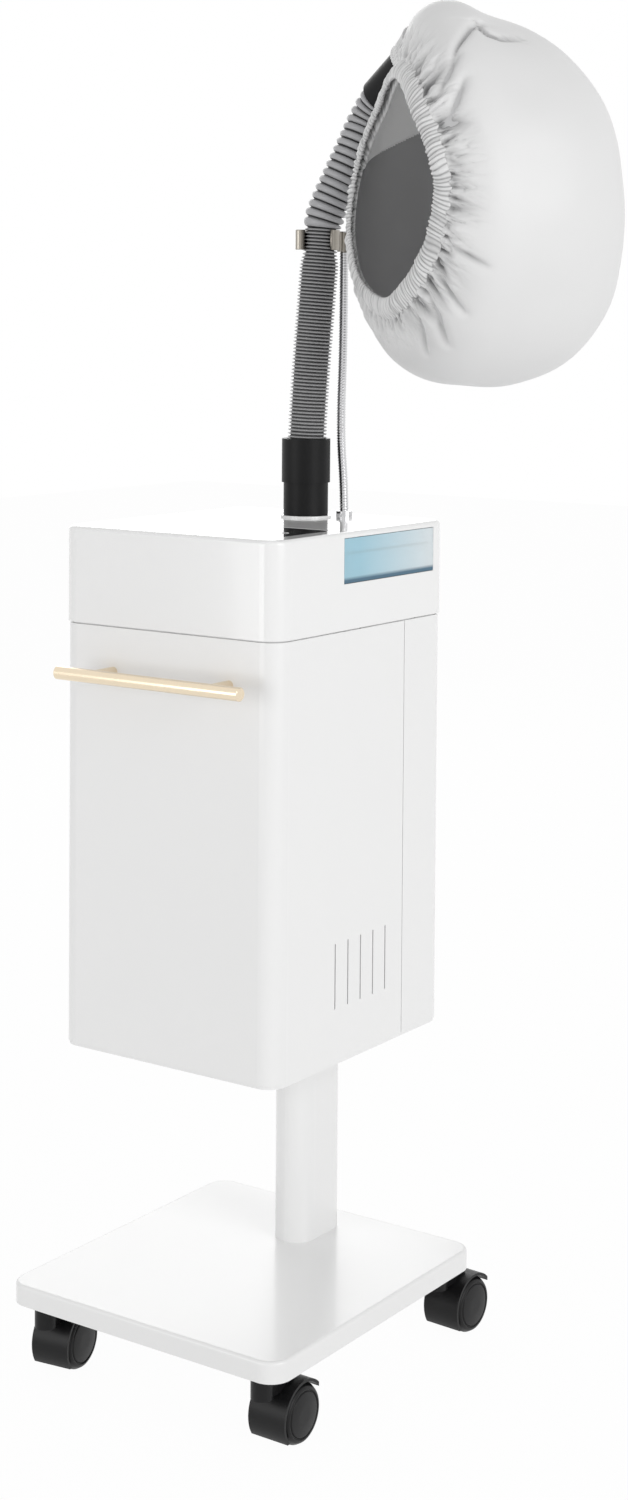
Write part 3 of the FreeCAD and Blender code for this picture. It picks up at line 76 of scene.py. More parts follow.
CAMERA_AT = Vector((1.282, -1.7458, 0.968))
CAMERA_TURN = math.radians(34.99)
CAMERA_DOWN = math.radians(2.0)
CAMERA_ROLL = math.radians(0.41)
CAMERA_LENS = 57.06
CAMERA_SHIFT = (0.0059, -0.2367)
WORLD_LIGHT = 0.57
FLOOR_GLOW = 0.97

# name, place, what it points at, width, height and watts
LAMPS = (
    ("key", (3.4, -0.6, 1.5), (0, 0, 0.6), 2.2, 2.2, 46),
    ("front", (-1.2, -3.4, 0.9), (0, 0, 0.55), 2.0, 1.8, 27),
    ("rear", (-2.4, 2.4, 2.0), (0.1, 0, 0.7), 2.2, 2.2, 22),
)


def add_camera():
    """A long lens, level with the hose and framed well below its axis."""
    forward = Vector((
        -math.sin(CAMERA_TURN) * math.cos(CAMERA_DOWN),
        math.cos(CAMERA_TURN) * math.cos(CAMERA_DOWN),
        -math.sin(CAMERA_DOWN),
    ))
    right = Vector((math.cos(CAMERA_TURN), math.sin(CAMERA_TURN), 0))
    up = right.cross(forward)
    rolled = Matrix.Rotation(-CAMERA_ROLL, 3, forward)
    axes = Matrix((rolled @ right, rolled @ up, -forward)).transposed()
    data = bpy.data.cameras.new("camera")
    data.lens = CAMERA_LENS
    data.sensor_width = 36
    data.sensor_fit = "AUTO"
    data.shift_x, data.shift_y = CAMERA_SHIFT
    camera = bpy.data.objects.new("camera", data)
    camera.matrix_world = Matrix.Translation(CAMERA_AT) @ axes.to_4x4()
    bpy.context.scene.collection.objects.link(camera)
    bpy.context.scene.camera = camera


def seen_directly(tree):
    """1 for camera, glossy and transmission rays, which see the plain white background."""
    path = tree.nodes.new("ShaderNodeLightPath")
    total = None
    for ray in ("Is Camera Ray", "Is Glossy Ray", "Is Transmission Ray"):
        if total is None:
            total = path.outputs[ray]
            continue
        either = tree.nodes.new("ShaderNodeMath")
        either.operation = "MAXIMUM"
        tree.links.new(total, either.inputs[0])
        tree.links.new(path.outputs[ray], either.inputs[1])
        total = either.outputs[0]
    return total


def add_floor():
    """A pale floor that shows as white and keeps a faint shadow."""
    bpy.ops.mesh.primitive_plane_add(size=14, location=(0, 2, 0))
    floor = bpy.context.object
    floor.name = "floor"
    paint = bpy.data.materials.new("floor_white")
    paint.use_nodes = True
    tree = paint.node_tree
    tree.nodes.clear()
    matte = tree.nodes.new("ShaderNodeBsdfDiffuse")
    matte.inputs["Color"].default_value = (0.9, 0.9, 0.9, 1)
    glow = tree.nodes.new("ShaderNodeEmission")
    glow.inputs["Strength"].default_value = 1
    share = tree.nodes.new("ShaderNodeMath")
    share.operation = "MULTIPLY"
    share.inputs[1].default_value = FLOOR_GLOW
    tree.links.new(seen_directly(tree), share.inputs[0])
    mix = tree.nodes.new("ShaderNodeMixShader")
    out = tree.nodes.new("ShaderNodeOutputMaterial")
    tree.links.new(share.outputs[0], mix.inputs[0])
    tree.links.new(matte.outputs[0], mix.inputs[1])
    tree.links.new(glow.outputs[0], mix.inputs[2])
    tree.links.new(mix.outputs[0], out.inputs["Surface"])
    floor.data.materials.append(paint)


def add_world():
    """Even light all round, seen as plain white."""
    world = bpy.data.worlds.new("studio")
    bpy.context.scene.world = world
    world.use_nodes = True
    tree = world.node_tree
    back = tree.nodes["Background"]
    back.inputs["Color"].default_value = (1, 1, 1, 1)
    seen = seen_directly(tree)
    strength = tree.nodes.new("ShaderNodeMapRange")
    strength.inputs["To Min"].default_value = WORLD_LIGHT
    strength.inputs["To Max"].default_value = 1
    tree.links.new(seen, strength.inputs["Value"])
    tree.links.new(strength.outputs[0], back.inputs["Strength"])


def add_lamp(name, at, target, wide, tall, watts):
    """A soft lamp that points at a target."""
    data = bpy.data.lights.new(name, "AREA")
    data.shape = "RECTANGLE"
    data.size, data.size_y = wide, tall
    data.energy = watts
    lamp = bpy.data.objects.new(name, data)
    lamp.location = at
    lamp.rotation_euler = (Vector(target) - Vector(at)).to_track_quat("-Z", "Y").to_euler()
    bpy.context.scene.collection.objects.link(lamp)


def add_stage():
    """Camera, floor, world and lamps."""
    add_camera()
    add_floor()
    add_world()
    for lamp in LAMPS:
        add_lamp(*lamp)
    bpy.context.scene.view_settings.view_transform = "Standard"


# ---------------------------------------------------------------- materials


def surface(
    name, colour, rough, metal=0.0, mottle=0.02, mottle_scale=18, grain=0.0, grain_scale=900,
    stretch=(1, 1, 1), uneven=0.05, **sockets,
):
    """A shader with mottled colour, uneven roughness and a fine grain; sockets are set as given.

    stretch draws the grain out along an axis, as on brushed metal.
    """
    paint = bpy.data.materials.new(name)
    paint.use_nodes = True
    tree = paint.node_tree
    shader = tree.nodes["Principled BSDF"]
    shader.inputs["Metallic"].default_value = metal
    for socket, value in sockets.items():
        shader.inputs[socket.replace("_", " ")].default_value = value

    where = tree.nodes.new("ShaderNodeTexCoord").outputs["Object"]
    broad = tree.nodes.new("ShaderNodeTexNoise")
    broad.inputs["Scale"].default_value = mottle_scale
    broad.inputs["Detail"].default_value = 5
    tree.links.new(where, broad.inputs["Vector"])
    tint = tree.nodes.new("ShaderNodeMix")
    tint.data_type = "RGBA"
    tint.inputs["A"].default_value = (*[c * (1 - mottle) for c in colour], 1)
    tint.inputs["B"].default_value = (*[min(1, c * (1 + mottle)) for c in colour], 1)
    tree.links.new(broad.outputs["Fac"], tint.inputs["Factor"])
    tree.links.new(tint.outputs["Result"], shader.inputs["Base Color"])

    spread = tree.nodes.new("ShaderNodeMapping")
    spread.inputs["Scale"].default_value = stretch
    tree.links.new(where, spread.inputs["Vector"])
    fine = tree.nodes.new("ShaderNodeTexNoise")
    fine.inputs["Scale"].default_value = grain_scale
    fine.inputs["Detail"].default_value = 3
    tree.links.new(spread.outputs[0], fine.inputs["Vector"])
    dull = tree.nodes.new("ShaderNodeMapRange")
    dull.inputs["To Min"].default_value = max(0.02, rough - uneven)
    dull.inputs["To Max"].default_value = min(1, rough + uneven)
    tree.links.new(fine.outputs["Fac"], dull.inputs["Value"])
    tree.links.new(dull.outputs[0], shader.inputs["Roughness"])
    if grain:
        bump = tree.nodes.new("ShaderNodeBump")
        bump.inputs["Strength"].default_value = grain
        bump.inputs["Distance"].default_value = 0.0003
        tree.links.new(fine.outputs["Fac"], bump.inputs["Height"])
        tree.links.new(bump.outputs[0], shader.inputs["Normal"])
    return paint


def make_paints():
    """Every paint, by the name that the pieces ask for."""
    return {
        "white_steel": surface(
            "white_powder_coat", (0.86, 0.86, 0.858), 0.3, mottle=0.006, grain=0.06, grain_scale=700,
            Coat_Weight=0.35, Coat_Roughness=0.12,
        ),
        "white_abs": surface(
            "white_gloss_plastic", (0.87, 0.87, 0.868), 0.16, mottle=0.005, grain=0.015,
            grain_scale=160, uneven=0.03, Coat_Weight=0.5, Coat_Roughness=0.05,
        ),
        "panel_glass": surface(
            "black_glass", (0.012, 0.012, 0.013), 0.06, mottle=0.02, uneven=0.02, Coat_Weight=1.0,
            Coat_Roughness=0.02,
        ),
        "steel": surface(
            "zinc_plated_steel", (0.62, 0.62, 0.61), 0.36, metal=1, mottle=0.08, mottle_scale=60,
            grain=0.1, stretch=(1, 1, 0.1),
        ),
        "chrome_arm": surface(
            "plated_arm", (0.66, 0.66, 0.67), 0.2, metal=1, mottle=0.03, grain=0.05, grain_scale=1200,
        ),
        "clip_steel": surface(
            "bronze_nickel", (0.35, 0.325, 0.285), 0.3, metal=1, mottle=0.08, mottle_scale=80,
            grain=0.12, stretch=(0.15, 0.15, 1), uneven=0.08,
        ),
        "gold": surface(
            "champagne_gold", (0.83, 0.71, 0.54), 0.2, metal=1, mottle=0.03, mottle_scale=30,
            grain=0.14, grain_scale=1500, stretch=(0.06, 1, 1), uneven=0.07,
        ),
        "black_plastic": surface(
            "black_matte_plastic", (0.010, 0.010, 0.0105), 0.42, mottle=0.1, grain=0.2,
            grain_scale=1600, Specular_IOR_Level=0.14,
        ),
        "caster_plastic": surface(
            "black_nylon", (0.008, 0.008, 0.0085), 0.36, mottle=0.1, grain=0.22, grain_scale=1300,
            Specular_IOR_Level=0.22,
        ),
        "tank_blue": tank_paint(),
        "cap_blue": surface(
            "cap_blue", (0.30, 0.52, 0.66), 0.3, mottle=0.03, grain=0.05, Coat_Weight=0.4,
        ),
        "white_plastic": surface(
            "white_moulded_plastic", (0.8, 0.8, 0.79), 0.5, mottle=0.02, grain=0.15,
        ),
        "grey_plastic": surface(
            "grey_moulded_plastic", (0.3, 0.3, 0.31), 0.5, mottle=0.04, grain=0.15,
        ),
        "hose_grey": surface(
            "hose_plastic", (0.33, 0.33, 0.335), 0.34, mottle=0.05, mottle_scale=40, grain=0.1,
        ),
        "circuit_green": surface(
            "circuit_board", (0.03, 0.18, 0.08), 0.35, mottle=0.25, mottle_scale=120, grain=0.1,
        ),
        "aluminium": surface(
            "cast_aluminium", (0.72, 0.72, 0.73), 0.42, metal=1, mottle=0.06, grain=0.3,
            grain_scale=500,
        ),
        "mica": surface("mica_board", (0.5, 0.4, 0.27), 0.55, mottle=0.3, mottle_scale=70, grain=0.2),
        "hose_fine": surface(
            "hose_plastic_fine", (0.37, 0.37, 0.375), 0.3, mottle=0.05, mottle_scale=40, grain=0.1,
        ),
        "print_white": surface("print_white", (0.7, 0.7, 0.7), 0.5, mottle=0.02, grain=0.1),
        "display_light": surface(
            "display_light", (0.55, 0.75, 0.85), 0.4, mottle=0.02, Emission_Color=(0.6, 0.85, 1, 1),
            Emission_Strength=0.5,
        ),
        # painted shade: near-black paint in the hose's grooves stands in for the shade there
        "hose_groove_shade": surface(
            "hose_groove_shade", (0.03, 0.03, 0.031), 0.6, mottle=0.1, mottle_scale=40, grain=0.1,
        ),
        # painted light: this panel's pale colour and faint glow stand in for light that comes through
        # the cloth
        "lining_panel_glow": surface(
            "port_panel_painted_glow", (0.93, 0.93, 0.92), 0.5, mottle=0.05, mottle_scale=14, grain=0.3,
            grain_scale=1300, Emission_Color=(1, 1, 1, 1), Emission_Strength=0.07,
        ),
        "hose_coarse": surface(
            "hose_plastic_coarse", (0.42, 0.42, 0.43), 0.34, mottle=0.05, mottle_scale=40, grain=0.1,
        ),
        # the cloth's colour carries painted shade, darker in its folds
        "silver_cloth": shade_in_folds(surface(
            "silver_coated_cloth", (0.755, 0.755, 0.755), 0.42, mottle=0.015, mottle_scale=12,
            grain=0.25, grain_scale=1400, uneven=0.08, Sheen_Weight=0.15, Sheen_Roughness=0.4,
        ), 0.36),
        "lining": surface(
            "grey_lining", (0.55, 0.55, 0.555), 0.6, mottle=0.06, mottle_scale=14, grain=0.3,
            grain_scale=1300,
        ),
        "silver_fabric": surface("port_cloth", (0.8, 0.8, 0.8), 0.5, grain=0.3),
        "silicone": surface("silicone_tube", (0.7, 0.7, 0.7), 0.45, mottle=0.03, grain=0.1),
    }


def shade_in_folds(paint, dark):
    """Darkens a paint where the piece's folds are deep: painted shade in the creases, read from the
    fold attribute.
    """
    tree = paint.node_tree
    shader = tree.nodes["Principled BSDF"]
    plain = shader.inputs["Base Color"].links[0].from_socket
    fold = tree.nodes.new("ShaderNodeAttribute")
    fold.attribute_name = "fold"
    shade = tree.nodes.new("ShaderNodeMix")
    shade.data_type = "RGBA"
    shade.blend_type = "MULTIPLY"
    shade.inputs["B"].default_value = (dark, dark, dark * 1.01, 1)
    tree.links.new(fold.outputs["Fac"], shade.inputs["Factor"])
    tree.links.new(plain, shade.inputs["A"])
    tree.links.new(shade.outputs["Result"], shader.inputs["Base Color"])
    return paint


def tank_paint():
    """Clear blue plastic, lighter towards its far end and top, with a dark line at its bottom edge; the
    lighter far end is painted light.
    """
    paint = surface(
        "clear_blue_tank", (0.50, 0.78, 0.90), 0.08, mottle=0.02, grain=0.02, grain_scale=120,
        uneven=0.03, Transmission_Weight=0.34, IOR=1.12, Coat_Weight=0.4,
    )
    tree = paint.node_tree
    shader = tree.nodes["Principled BSDF"]
    plain = shader.inputs["Base Color"].links[0].from_socket
    where = tree.nodes.new("ShaderNodeTexCoord").outputs["Object"]
    axes = tree.nodes.new("ShaderNodeSeparateXYZ")
    tree.links.new(where, axes.inputs[0])
    # painted light: the first entry paints the tank lighter towards its far end; the second paints a
    # dark line along its bottom edge
    for axis, start, end, colour in (
        ("Y", 0.0, 0.115, (0.90, 0.97, 1.0, 1)), ("Z", 0.7355, 0.7325, (0.12, 0.24, 0.34, 1)),
    ):
        part = tree.nodes.new("ShaderNodeMapRange")
        part.inputs["From Min"].default_value = start
        part.inputs["From Max"].default_value = end
        tree.links.new(axes.outputs[axis], part.inputs["Value"])
        mix = tree.nodes.new("ShaderNodeMix")
        mix.data_type = "RGBA"
        mix.inputs["B"].default_value = colour
        tree.links.new(part.outputs[0], mix.inputs["Factor"])
        tree.links.new(plain, mix.inputs["A"])
        plain = mix.outputs["Result"]
    tree.links.new(plain, shader.inputs["Base Color"])
    return paint


# starts of node names and their paints: the first that fits counts
SLOT_BY_START = (
    ("base_ballast", "steel"), ("base_", "white_steel"), ("caster_stems", "steel"),
    ("caster_", "caster_plastic"), ("column_plugs", "steel"), ("column_bolts", "steel"),
    ("column", "white_steel"), ("cabinet_clips", "steel"), ("cabinet", "white_steel"),
    ("rear_cover", "white_steel"), ("head_cover", "white_abs"), ("head_lip", "white_abs"),
    ("control_panel", "panel_glass"), ("control_board", "circuit_green"),
    ("handle_screws", "steel"), ("handle", "gold"), ("water_tank", "tank_blue"),
    ("tank_cap", "cap_blue"), ("tank_tray", "white_plastic"), ("inner_frame", "steel"),
    ("blower_housing", "grey_plastic"), ("blower_motor", "aluminium"), ("impeller", "grey_plastic"),
    ("heater_duct", "steel"), ("heater_element", "mica"), ("steam_boiler", "aluminium"),
    ("water_pump", "grey_plastic"), ("water_pipes", "silicone"), ("power_board", "circuit_green"),
    ("power_", "black_plastic"), ("switch_frame", "black_plastic"),
    ("outlet_collar", "white_abs"), ("lower_cuff", "black_plastic"), ("upper_cuff", "black_plastic"),
    ("lower_hose", "hose_grey"), ("upper_hose", "hose_grey"), ("gooseneck", "chrome_arm"),
    ("arm_", "chrome_arm"), ("hose_clip", "clip_steel"), ("clip_holder", "clip_steel"),
    ("bonnet", "silver_fabric"), ("hem_ring", "silver_fabric"), ("port_ring", "white_plastic"),
)


def dress_nodes(paints):
    """Gives every carried-over CAD node a finish by the start of its name."""
    for name, node in nodes.items():
        node.data.materials.clear()
        node.data.materials.append(paints[node_slot(name)])


def node_slot(name):
    """The paint of a node: the first start in the list that fits."""
    for start, slot in SLOT_BY_START:
        if name.startswith(start):
            return slot
    return "white_steel"


# ---------------------------------------------------------------- mesh helpers


def mesh_piece(name, points, faces, paints_used, face_paints=None, smooth=True):
    """A piece from points, faces and the paint of each face."""
    data = bpy.data.meshes.new(name)
    data.from_pydata([tuple(p) for p in points], [], faces)
    for paint in paints_used:
        data.materials.append(paint)
    if face_paints is not None:
        data.polygons.foreach_set("material_index", np.asarray(face_paints, np.int32))
    data.polygons.foreach_set("use_smooth", [smooth] * len(data.polygons))
    data.update()
    piece = bpy.data.objects.new(name, data)
    bpy.context.scene.collection.objects.link(piece)
    return piece


def ring_faces(rows, columns, closed=False):
    """Faces between rows of a grid that goes round; closed also joins the last row to the first."""
    faces = []
    for i in range(rows if closed else rows - 1):
        low, high = i * columns, ((i + 1) % rows) * columns
        for j in range(columns):
            k = (j + 1) % columns
            faces.append((low + j, low + k, high + k, high + j))
    return faces


def ring_piece(name, grid, paints_used, row_paints=None, closed=False, capped=False):
    """A piece from a grid of points whose rows go round; capped closes both ends with a fan."""
    rows, columns = grid.shape[:2]
    points = list(grid.reshape(-1, 3))
    faces = ring_faces(rows, columns, closed)
    chosen = None
    if row_paints is not None:
        chosen = [row_paints[f[0] // columns] for f in faces]
    if capped:
        for row, turn in ((0, 1), (rows - 1, -1)):
            middle = len(points)
            points.append(grid[row].mean(0))
            for j in range(columns):
                a, b = row * columns + j, row * columns + (j + 1) % columns
                faces.append((a, middle, b)[::turn])
                if chosen is not None:
                    chosen.append(row_paints[row])
    return mesh_piece(name, points, faces, paints_used, chosen)


def centreline(points, step):
    """Evenly spaced points and directions along a smooth line through a route."""
    curve = bpy.data.curves.new("route", "CURVE")
    curve.dimensions = "3D"
    spline = curve.splines.new("NURBS")
    spline.points.add(len(points) - 1)
    for knot, point in zip(spline.points, points):
        knot.co = (*point, 1)
    spline.use_endpoint_u = True
    spline.order_u = 3
    spline.resolution_u = 24
    guide = bpy.data.objects.new("route", curve)
    line = bpy.data.meshes.new_from_object(guide)
    path = np.array([v.co for v in line.vertices])
    for used, data in ((bpy.data.objects, guide), (bpy.data.curves, curve), (bpy.data.meshes, line)):
        used.remove(data)
    runs = np.r_[0, np.cumsum(np.linalg.norm(np.diff(path, axis=0), axis=1))]
    along = np.linspace(0, runs[-1], max(2, round(runs[-1] / step) + 1))
    at = np.stack([np.interp(along, runs, path[:, i]) for i in range(3)], 1)
    way = np.gradient(at, axis=0)
    way /= np.linalg.norm(way, axis=1)[:, None]
    return along, at, way


def tube_grid(at, way, radii, sides, start_side=(1, 0, 0)):
    """Rings round a line; radii gives each ring's radius, or a radius for each ring and side."""
    rings = []
    side = np.array(start_side, float)
    turn = np.linspace(0, math.tau, sides, endpoint=False)
    for i, (point, forward) in enumerate(zip(at, way)):
        side = side - forward * (side @ forward)
        side /= np.linalg.norm(side)
        other = np.cross(forward, side)
        radius = np.broadcast_to(radii[i], (sides,))[:, None]
        rings.append(point + radius * (np.cos(turn)[:, None] * side + np.sin(turn)[:, None] * other))
    return np.array(rings)


def lathe(name, outline, centre, axis, paint, sides=64):
    """A turned piece: outline gives (along, radius) pairs from one end to the other."""
    axis = np.array(axis, float)
    centre = np.array(centre, float)
    at = np.array([centre + axis * along for along, _ in outline])
    way = np.tile(axis, (len(outline), 1))
    helper = (0, 0, 1) if abs(axis[2]) < 0.9 else (1, 0, 0)
    grid = tube_grid(at, way, [radius for _, radius in outline], sides, helper)
    return ring_piece(name, grid, [paint], capped=True)


def rounded(outline, radius, steps=4):
    """The same outline with its corners rounded."""
    points = [np.array(p, float) for p in outline]
    found = [points[0]]
    for before, corner, after in zip(points, points[1:], points[2:]):
        reach_in, reach_out = before - corner, after - corner
        cut = min(radius, np.linalg.norm(reach_in) * 0.45, np.linalg.norm(reach_out) * 0.45)
        start = corner + reach_in / np.linalg.norm(reach_in) * cut
        end = corner + reach_out / np.linalg.norm(reach_out) * cut
        for i in range(steps + 1):
            t = i / steps
            found.append((1 - t) ** 2 * start + 2 * t * (1 - t) * corner + t * t * end)
    found.append(points[-1])
    return found


# ---------------------------------------------------------------- hose and arm

HOSE_OUT = 0.018
NECK_IN = 0.0026
NECK_REACH = 0.017
CLIP_TALL = (1.0262, 1.0448)
CLIP_INSIDE = 0.0162
CLIP_WALL = 0.0018
CLIP_CURL = 0.0036
CLIP_AT = (0.0115, 0.0935, 1.034)
CUFF_START = np.array((0.0616, 0.1188, 1.168))
CUFF_WAY = np.array((0.791, -0.2035, 0.577))
CUFF_WAY = CUFF_WAY / np.linalg.norm(CUFF_WAY)
LOWER_ROUTE = [
    (0, 0.088, 0.806), (0, 0.088, 0.862), (0.0115, 0.0935, 1.034), (0.0121, 0.0938, 1.0463),
]
UPPER_ROUTE = [
    (0.0121, 0.0938, 1.0463), (0.0126, 0.09405, 1.056), (0.037, 0.109, 1.118),
    tuple(CUFF_START - CUFF_WAY * 0.015), tuple(CUFF_START + CUFF_WAY * 0.010),
]
ARM_ROUTE = [
    (0.024, 0.117, 0.772), (0.024, 0.117, 0.8), (0.0205, 0.1144, 0.856), (0.0228, 0.116, 0.95),
    (0.0221, 0.1161, 1.044),
]
ARM_RADIUS = 0.0041
ARM_PITCH = 0.0026
ARM_WOUND = 0.00028

# piece, its node and route, then in metres the ribs' pitch and depth, the ridges' share of the
# pitch, how far they stand proud, and the spacing of rings; last, the bodies at the ends
HOSES = (
    ("hose_fine", "lower_hose", LOWER_ROUTE, 0.0033, 0.0028, 0.62, 0.0004, 0.00033, ("chassis", "arm")),
    ("hose_coarse", "upper_hose", UPPER_ROUTE, 0.0078, 0.0036, 0.86, 0.0010, 0.0005, ("arm", "swan")),
)


def ribs(along, pitch, depth, ridge):
    """Radius lost along a ribbed tube, and where its grooves are; ridge is the ridge's share."""
    phase = np.abs((along / pitch) % 1 - 0.5) * 2
    shape = np.clip(1 - (phase / ridge) ** 2, 0, 1) ** 0.5
    return depth * (1 - shape), phase > ridge * 0.95


def make_hose(paints):
    """Fine ridges up to the clip, coarse ridges over the bend to the bonnet."""
    for name, node, route, pitch, depth, ridge, proud, step, ends in HOSES:
        along, at, way = centreline(route, step)
        lost, grooves = ribs(along, pitch, depth, ridge)
        beside_clip = np.linalg.norm(at - np.array(CLIP_AT), axis=1)
        neck = NECK_IN * np.exp(-((beside_clip / NECK_REACH) ** 4))
        grid = tube_grid(at, way, HOSE_OUT + proud - lost - neck, 64)
        # the groove faces get the near-black painted shade
        used = [paints[name], paints["hose_groove_shade"]]
        hose = ring_piece(name, grid, used, grooves.astype(int), capped=True)
        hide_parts(node)
        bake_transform(hose)


def make_gooseneck(paints):
    """The flexible metal arm: a steel strip wound in fine turns."""
    along, at, way = centreline(ARM_ROUTE, 0.0005)
    sides = 20
    turn = np.linspace(0, math.tau, sides, endpoint=False)
    wound = np.cos(math.tau * along[:, None] / ARM_PITCH - turn[None, :])
    grid = tube_grid(at, way, ARM_RADIUS + ARM_WOUND * wound, sides)
    arm = ring_piece("arm_wound_strip", grid, [paints["chrome_arm"]], capped=True)
    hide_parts("gooseneck")
    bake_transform(arm)


def make_clip(paints):
    """The spring clip that holds the hose: a band round its back with an outward curled lip."""
    middle = np.array(CLIP_AT)
    low, high = CLIP_TALL
    toward = math.radians(-55)
    bend = []
    for turn in np.linspace(math.radians(42), math.radians(290), 48):
        bend.append((CLIP_INSIDE + CLIP_WALL / 2, toward + turn))
    line = [radius * np.array((math.cos(a), math.sin(a))) for radius, a in bend]
    last = line[-1]
    outward_way = last / np.linalg.norm(last)
    onward = np.array((-outward_way[1], outward_way[0]))
    for turn in np.linspace(0, math.radians(235), 20)[1:]:
        turned = outward_way * CLIP_CURL * (1 - math.cos(turn)) + onward * CLIP_CURL * math.sin(turn)
        line.append(last + turned)
    first = line[0] / np.linalg.norm(line[0])
    back = np.array((first[1], -first[0]))
    line = [line[0] + back * 0.004 + first * 0.0012, line[0] + back * 0.002 + first * 0.0003] + line
    line = np.array(line)
    way = np.gradient(line, axis=0)
    way /= np.linalg.norm(way, axis=1)[:, None]
    across = np.stack([way[:, 1], -way[:, 0]], 1)
    section = rounded(
        [(0.5, 0.2), (0.5, 0.5), (-0.5, 0.5), (-0.5, -0.5), (0.5, -0.5), (0.5, 0.2)], 0.14, 3
    )
    rows = []
    for point, side in zip(line, across):
        ring = []
        for thick, tall in section[:-1]:
            flat = middle[:2] + (point + side * thick * CLIP_WALL)
            ring.append((*flat, (low + high) / 2 + tall * (high - low)))
        rows.append(ring)
    clip = ring_piece("clip_band", np.array(rows), [paints["clip_steel"]], capped=True)
    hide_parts("hose_clip")
    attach(clip, "arm")


# ---------------------------------------------------------------- casters

# how far each caster is turned at rest, in degrees, as in the CAD
CASTER_TURNS = {"front_left": 8, "front_right": 0, "rear_left": 15, "rear_right": -3}
WHEEL_HALF = 0.008
WHEEL_RADIUS = 0.026


def make_wheels(paints):
    """Twin wheels with rounded shoulders, a rim groove and a domed hub."""
    for body in frame["bodies"]:
        if not body.startswith("wheel_"):
            continue
        node = f"caster_{body}"
        low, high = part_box(node)
        middle = (low + high) / 2
        name = body.removeprefix("wheel_").rsplit("_", 1)[0]
        side = 1 if body.endswith("outer") else -1
        turn = math.radians(CASTER_TURNS[name])
        axle = np.array((math.cos(turn), math.sin(turn), 0)) * side
        half, radius = WHEEL_HALF, WHEEL_RADIUS
        outline = [
            (-half, 0.0045), (-half, radius - 0.009), (-half + 0.0035, radius - 0.0025),
            (-half + 0.0085, radius), (half - 0.0055, radius),
            (half - 0.001, radius - 0.0026), (half - 0.0002, radius - 0.0052),
            (half - 0.0014, radius - 0.0058), (half - 0.0014, radius - 0.0066),
            (half - 0.0002, radius - 0.0072), (half + 0.0006, 0.008), (half + 0.0006, 0.0005),
        ]
        profile = rounded(outline, 0.0016, 3)
        wheel = lathe(f"tyre_{body}", profile, middle, axle, paints["caster_plastic"])
        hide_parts(node)
        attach(wheel, body)


# ---------------------------------------------------------------- bonnet

BONNET_TURN = math.radians(31.8)
BACK = np.array((math.sin(BONNET_TURN), math.cos(BONNET_TURN), 0))
SIDE = np.array((math.cos(BONNET_TURN), -math.sin(BONNET_TURN), 0))
BONNET_HALF = np.array((0.132, 0.165))
BONNET_FRONT = 0.057
BONNET_LONG = 0.2005
BONNET_SAG = 0.0225
BONNET_ROUND = 0.76
MOUTH = np.array((0.086, 0.096))
BAND_WIDE = 0.016
CRUMPLE = 0.0032
HEM_BACK = 0.0045
LINING_IN = 0.0042
BAND_RIBS = 184

# how far the hem stands back from its own plane round the opening, by angle from the side, in degrees
HEM_WAVE = (
    (0, -2), (20, -10), (42, -17), (70, -10), (95, 1), (130, 11), (165, 4), (200, -5), (230, -9),
    (260, -6), (295, -13), (330, -6), (360, -2),
)


# the neck's tight end: metres along the cuff, and radius; and how wide it is where it meets the cloth
NECK = ((0.0470, 0.0212), (0.0472, 0.0224), (0.0500, 0.0236), (0.0520, 0.0224), (0.0560, 0.0234))
NECK_SPREAD = 0.0262

# places where the cloth stands out: degrees round the opening, mm from the band, height and width
BULGES = ((84, 42, 0.0085, 0.030), (70, 62, 0.004, 0.026), (122, 34, -0.0050, 0.034))

# rows of gathers: count, depth, length, seed, and for those on one side its direction and spread
GATHERS = (
    (67, 0.0115, 0.026, 3), (124, 0.0066, 0.015, 14), (33, 0.0125, 0.038, 8, (-42, 50)),
    (26, 0.0120, 0.038, 5, (30, 34)), (12, 0.0075, 0.060, 21, (-55, 55)),
)

# creases over the cloth: their lines, width, depth, and how far the cloth stands out over them
TUCKS = (
    (((60, 74), (58, 66), (54, 56), (49, 44), (44, 34)), 0.0030, 0.0075, 0.0),
    (((61, 72), (57, 71), (54, 76), (53, 88), (55, 102), (59, 118)), 0.0022, 0.0044, 0.0036),
    (((36, 40), (29, 24), (23, 8)), 0.0046, 0.0070, 0.0),
    (((46, 44), (40, 26), (33, 6)), 0.0048, 0.0066, 0.0),
    (((288, 44), (296, 24), (302, 2)), 0.0036, 0.0060, 0.0),
    (((301, 50), (308, 28), (313, 4)), 0.0042, 0.0074, 0.0),
    (((318, 44), (321, 22), (323, 4)), 0.0036, 0.0064, 0.0),
    (((336, 46), (337, 28), (337, 6)), 0.0036, 0.0050, 0.0),
)


def hem_wave(turn):
    """The hem's distance behind its plane, in metres, smooth and closed."""
    known = np.array(HEM_WAVE, float)
    wave = np.interp(np.degrees(turn) % 360, known[:, 0], known[:, 1]) * MM
    count = len(turn)
    reach = max(1, round(count * 0.035))
    kernel = np.hanning(2 * reach + 1)
    return np.convolve(np.r_[wave[-reach:], wave, wave[:reach]], kernel / kernel.sum(), "valid")


def facing(degrees, spread):
    """A strength that is 1 in a direction and falls to 0 away from it."""
    def strength(at):
        off = (at - math.radians(degrees) + math.pi) % math.tau - math.pi
        return np.exp(-(off / math.radians(spread)) ** 2)
    return strength


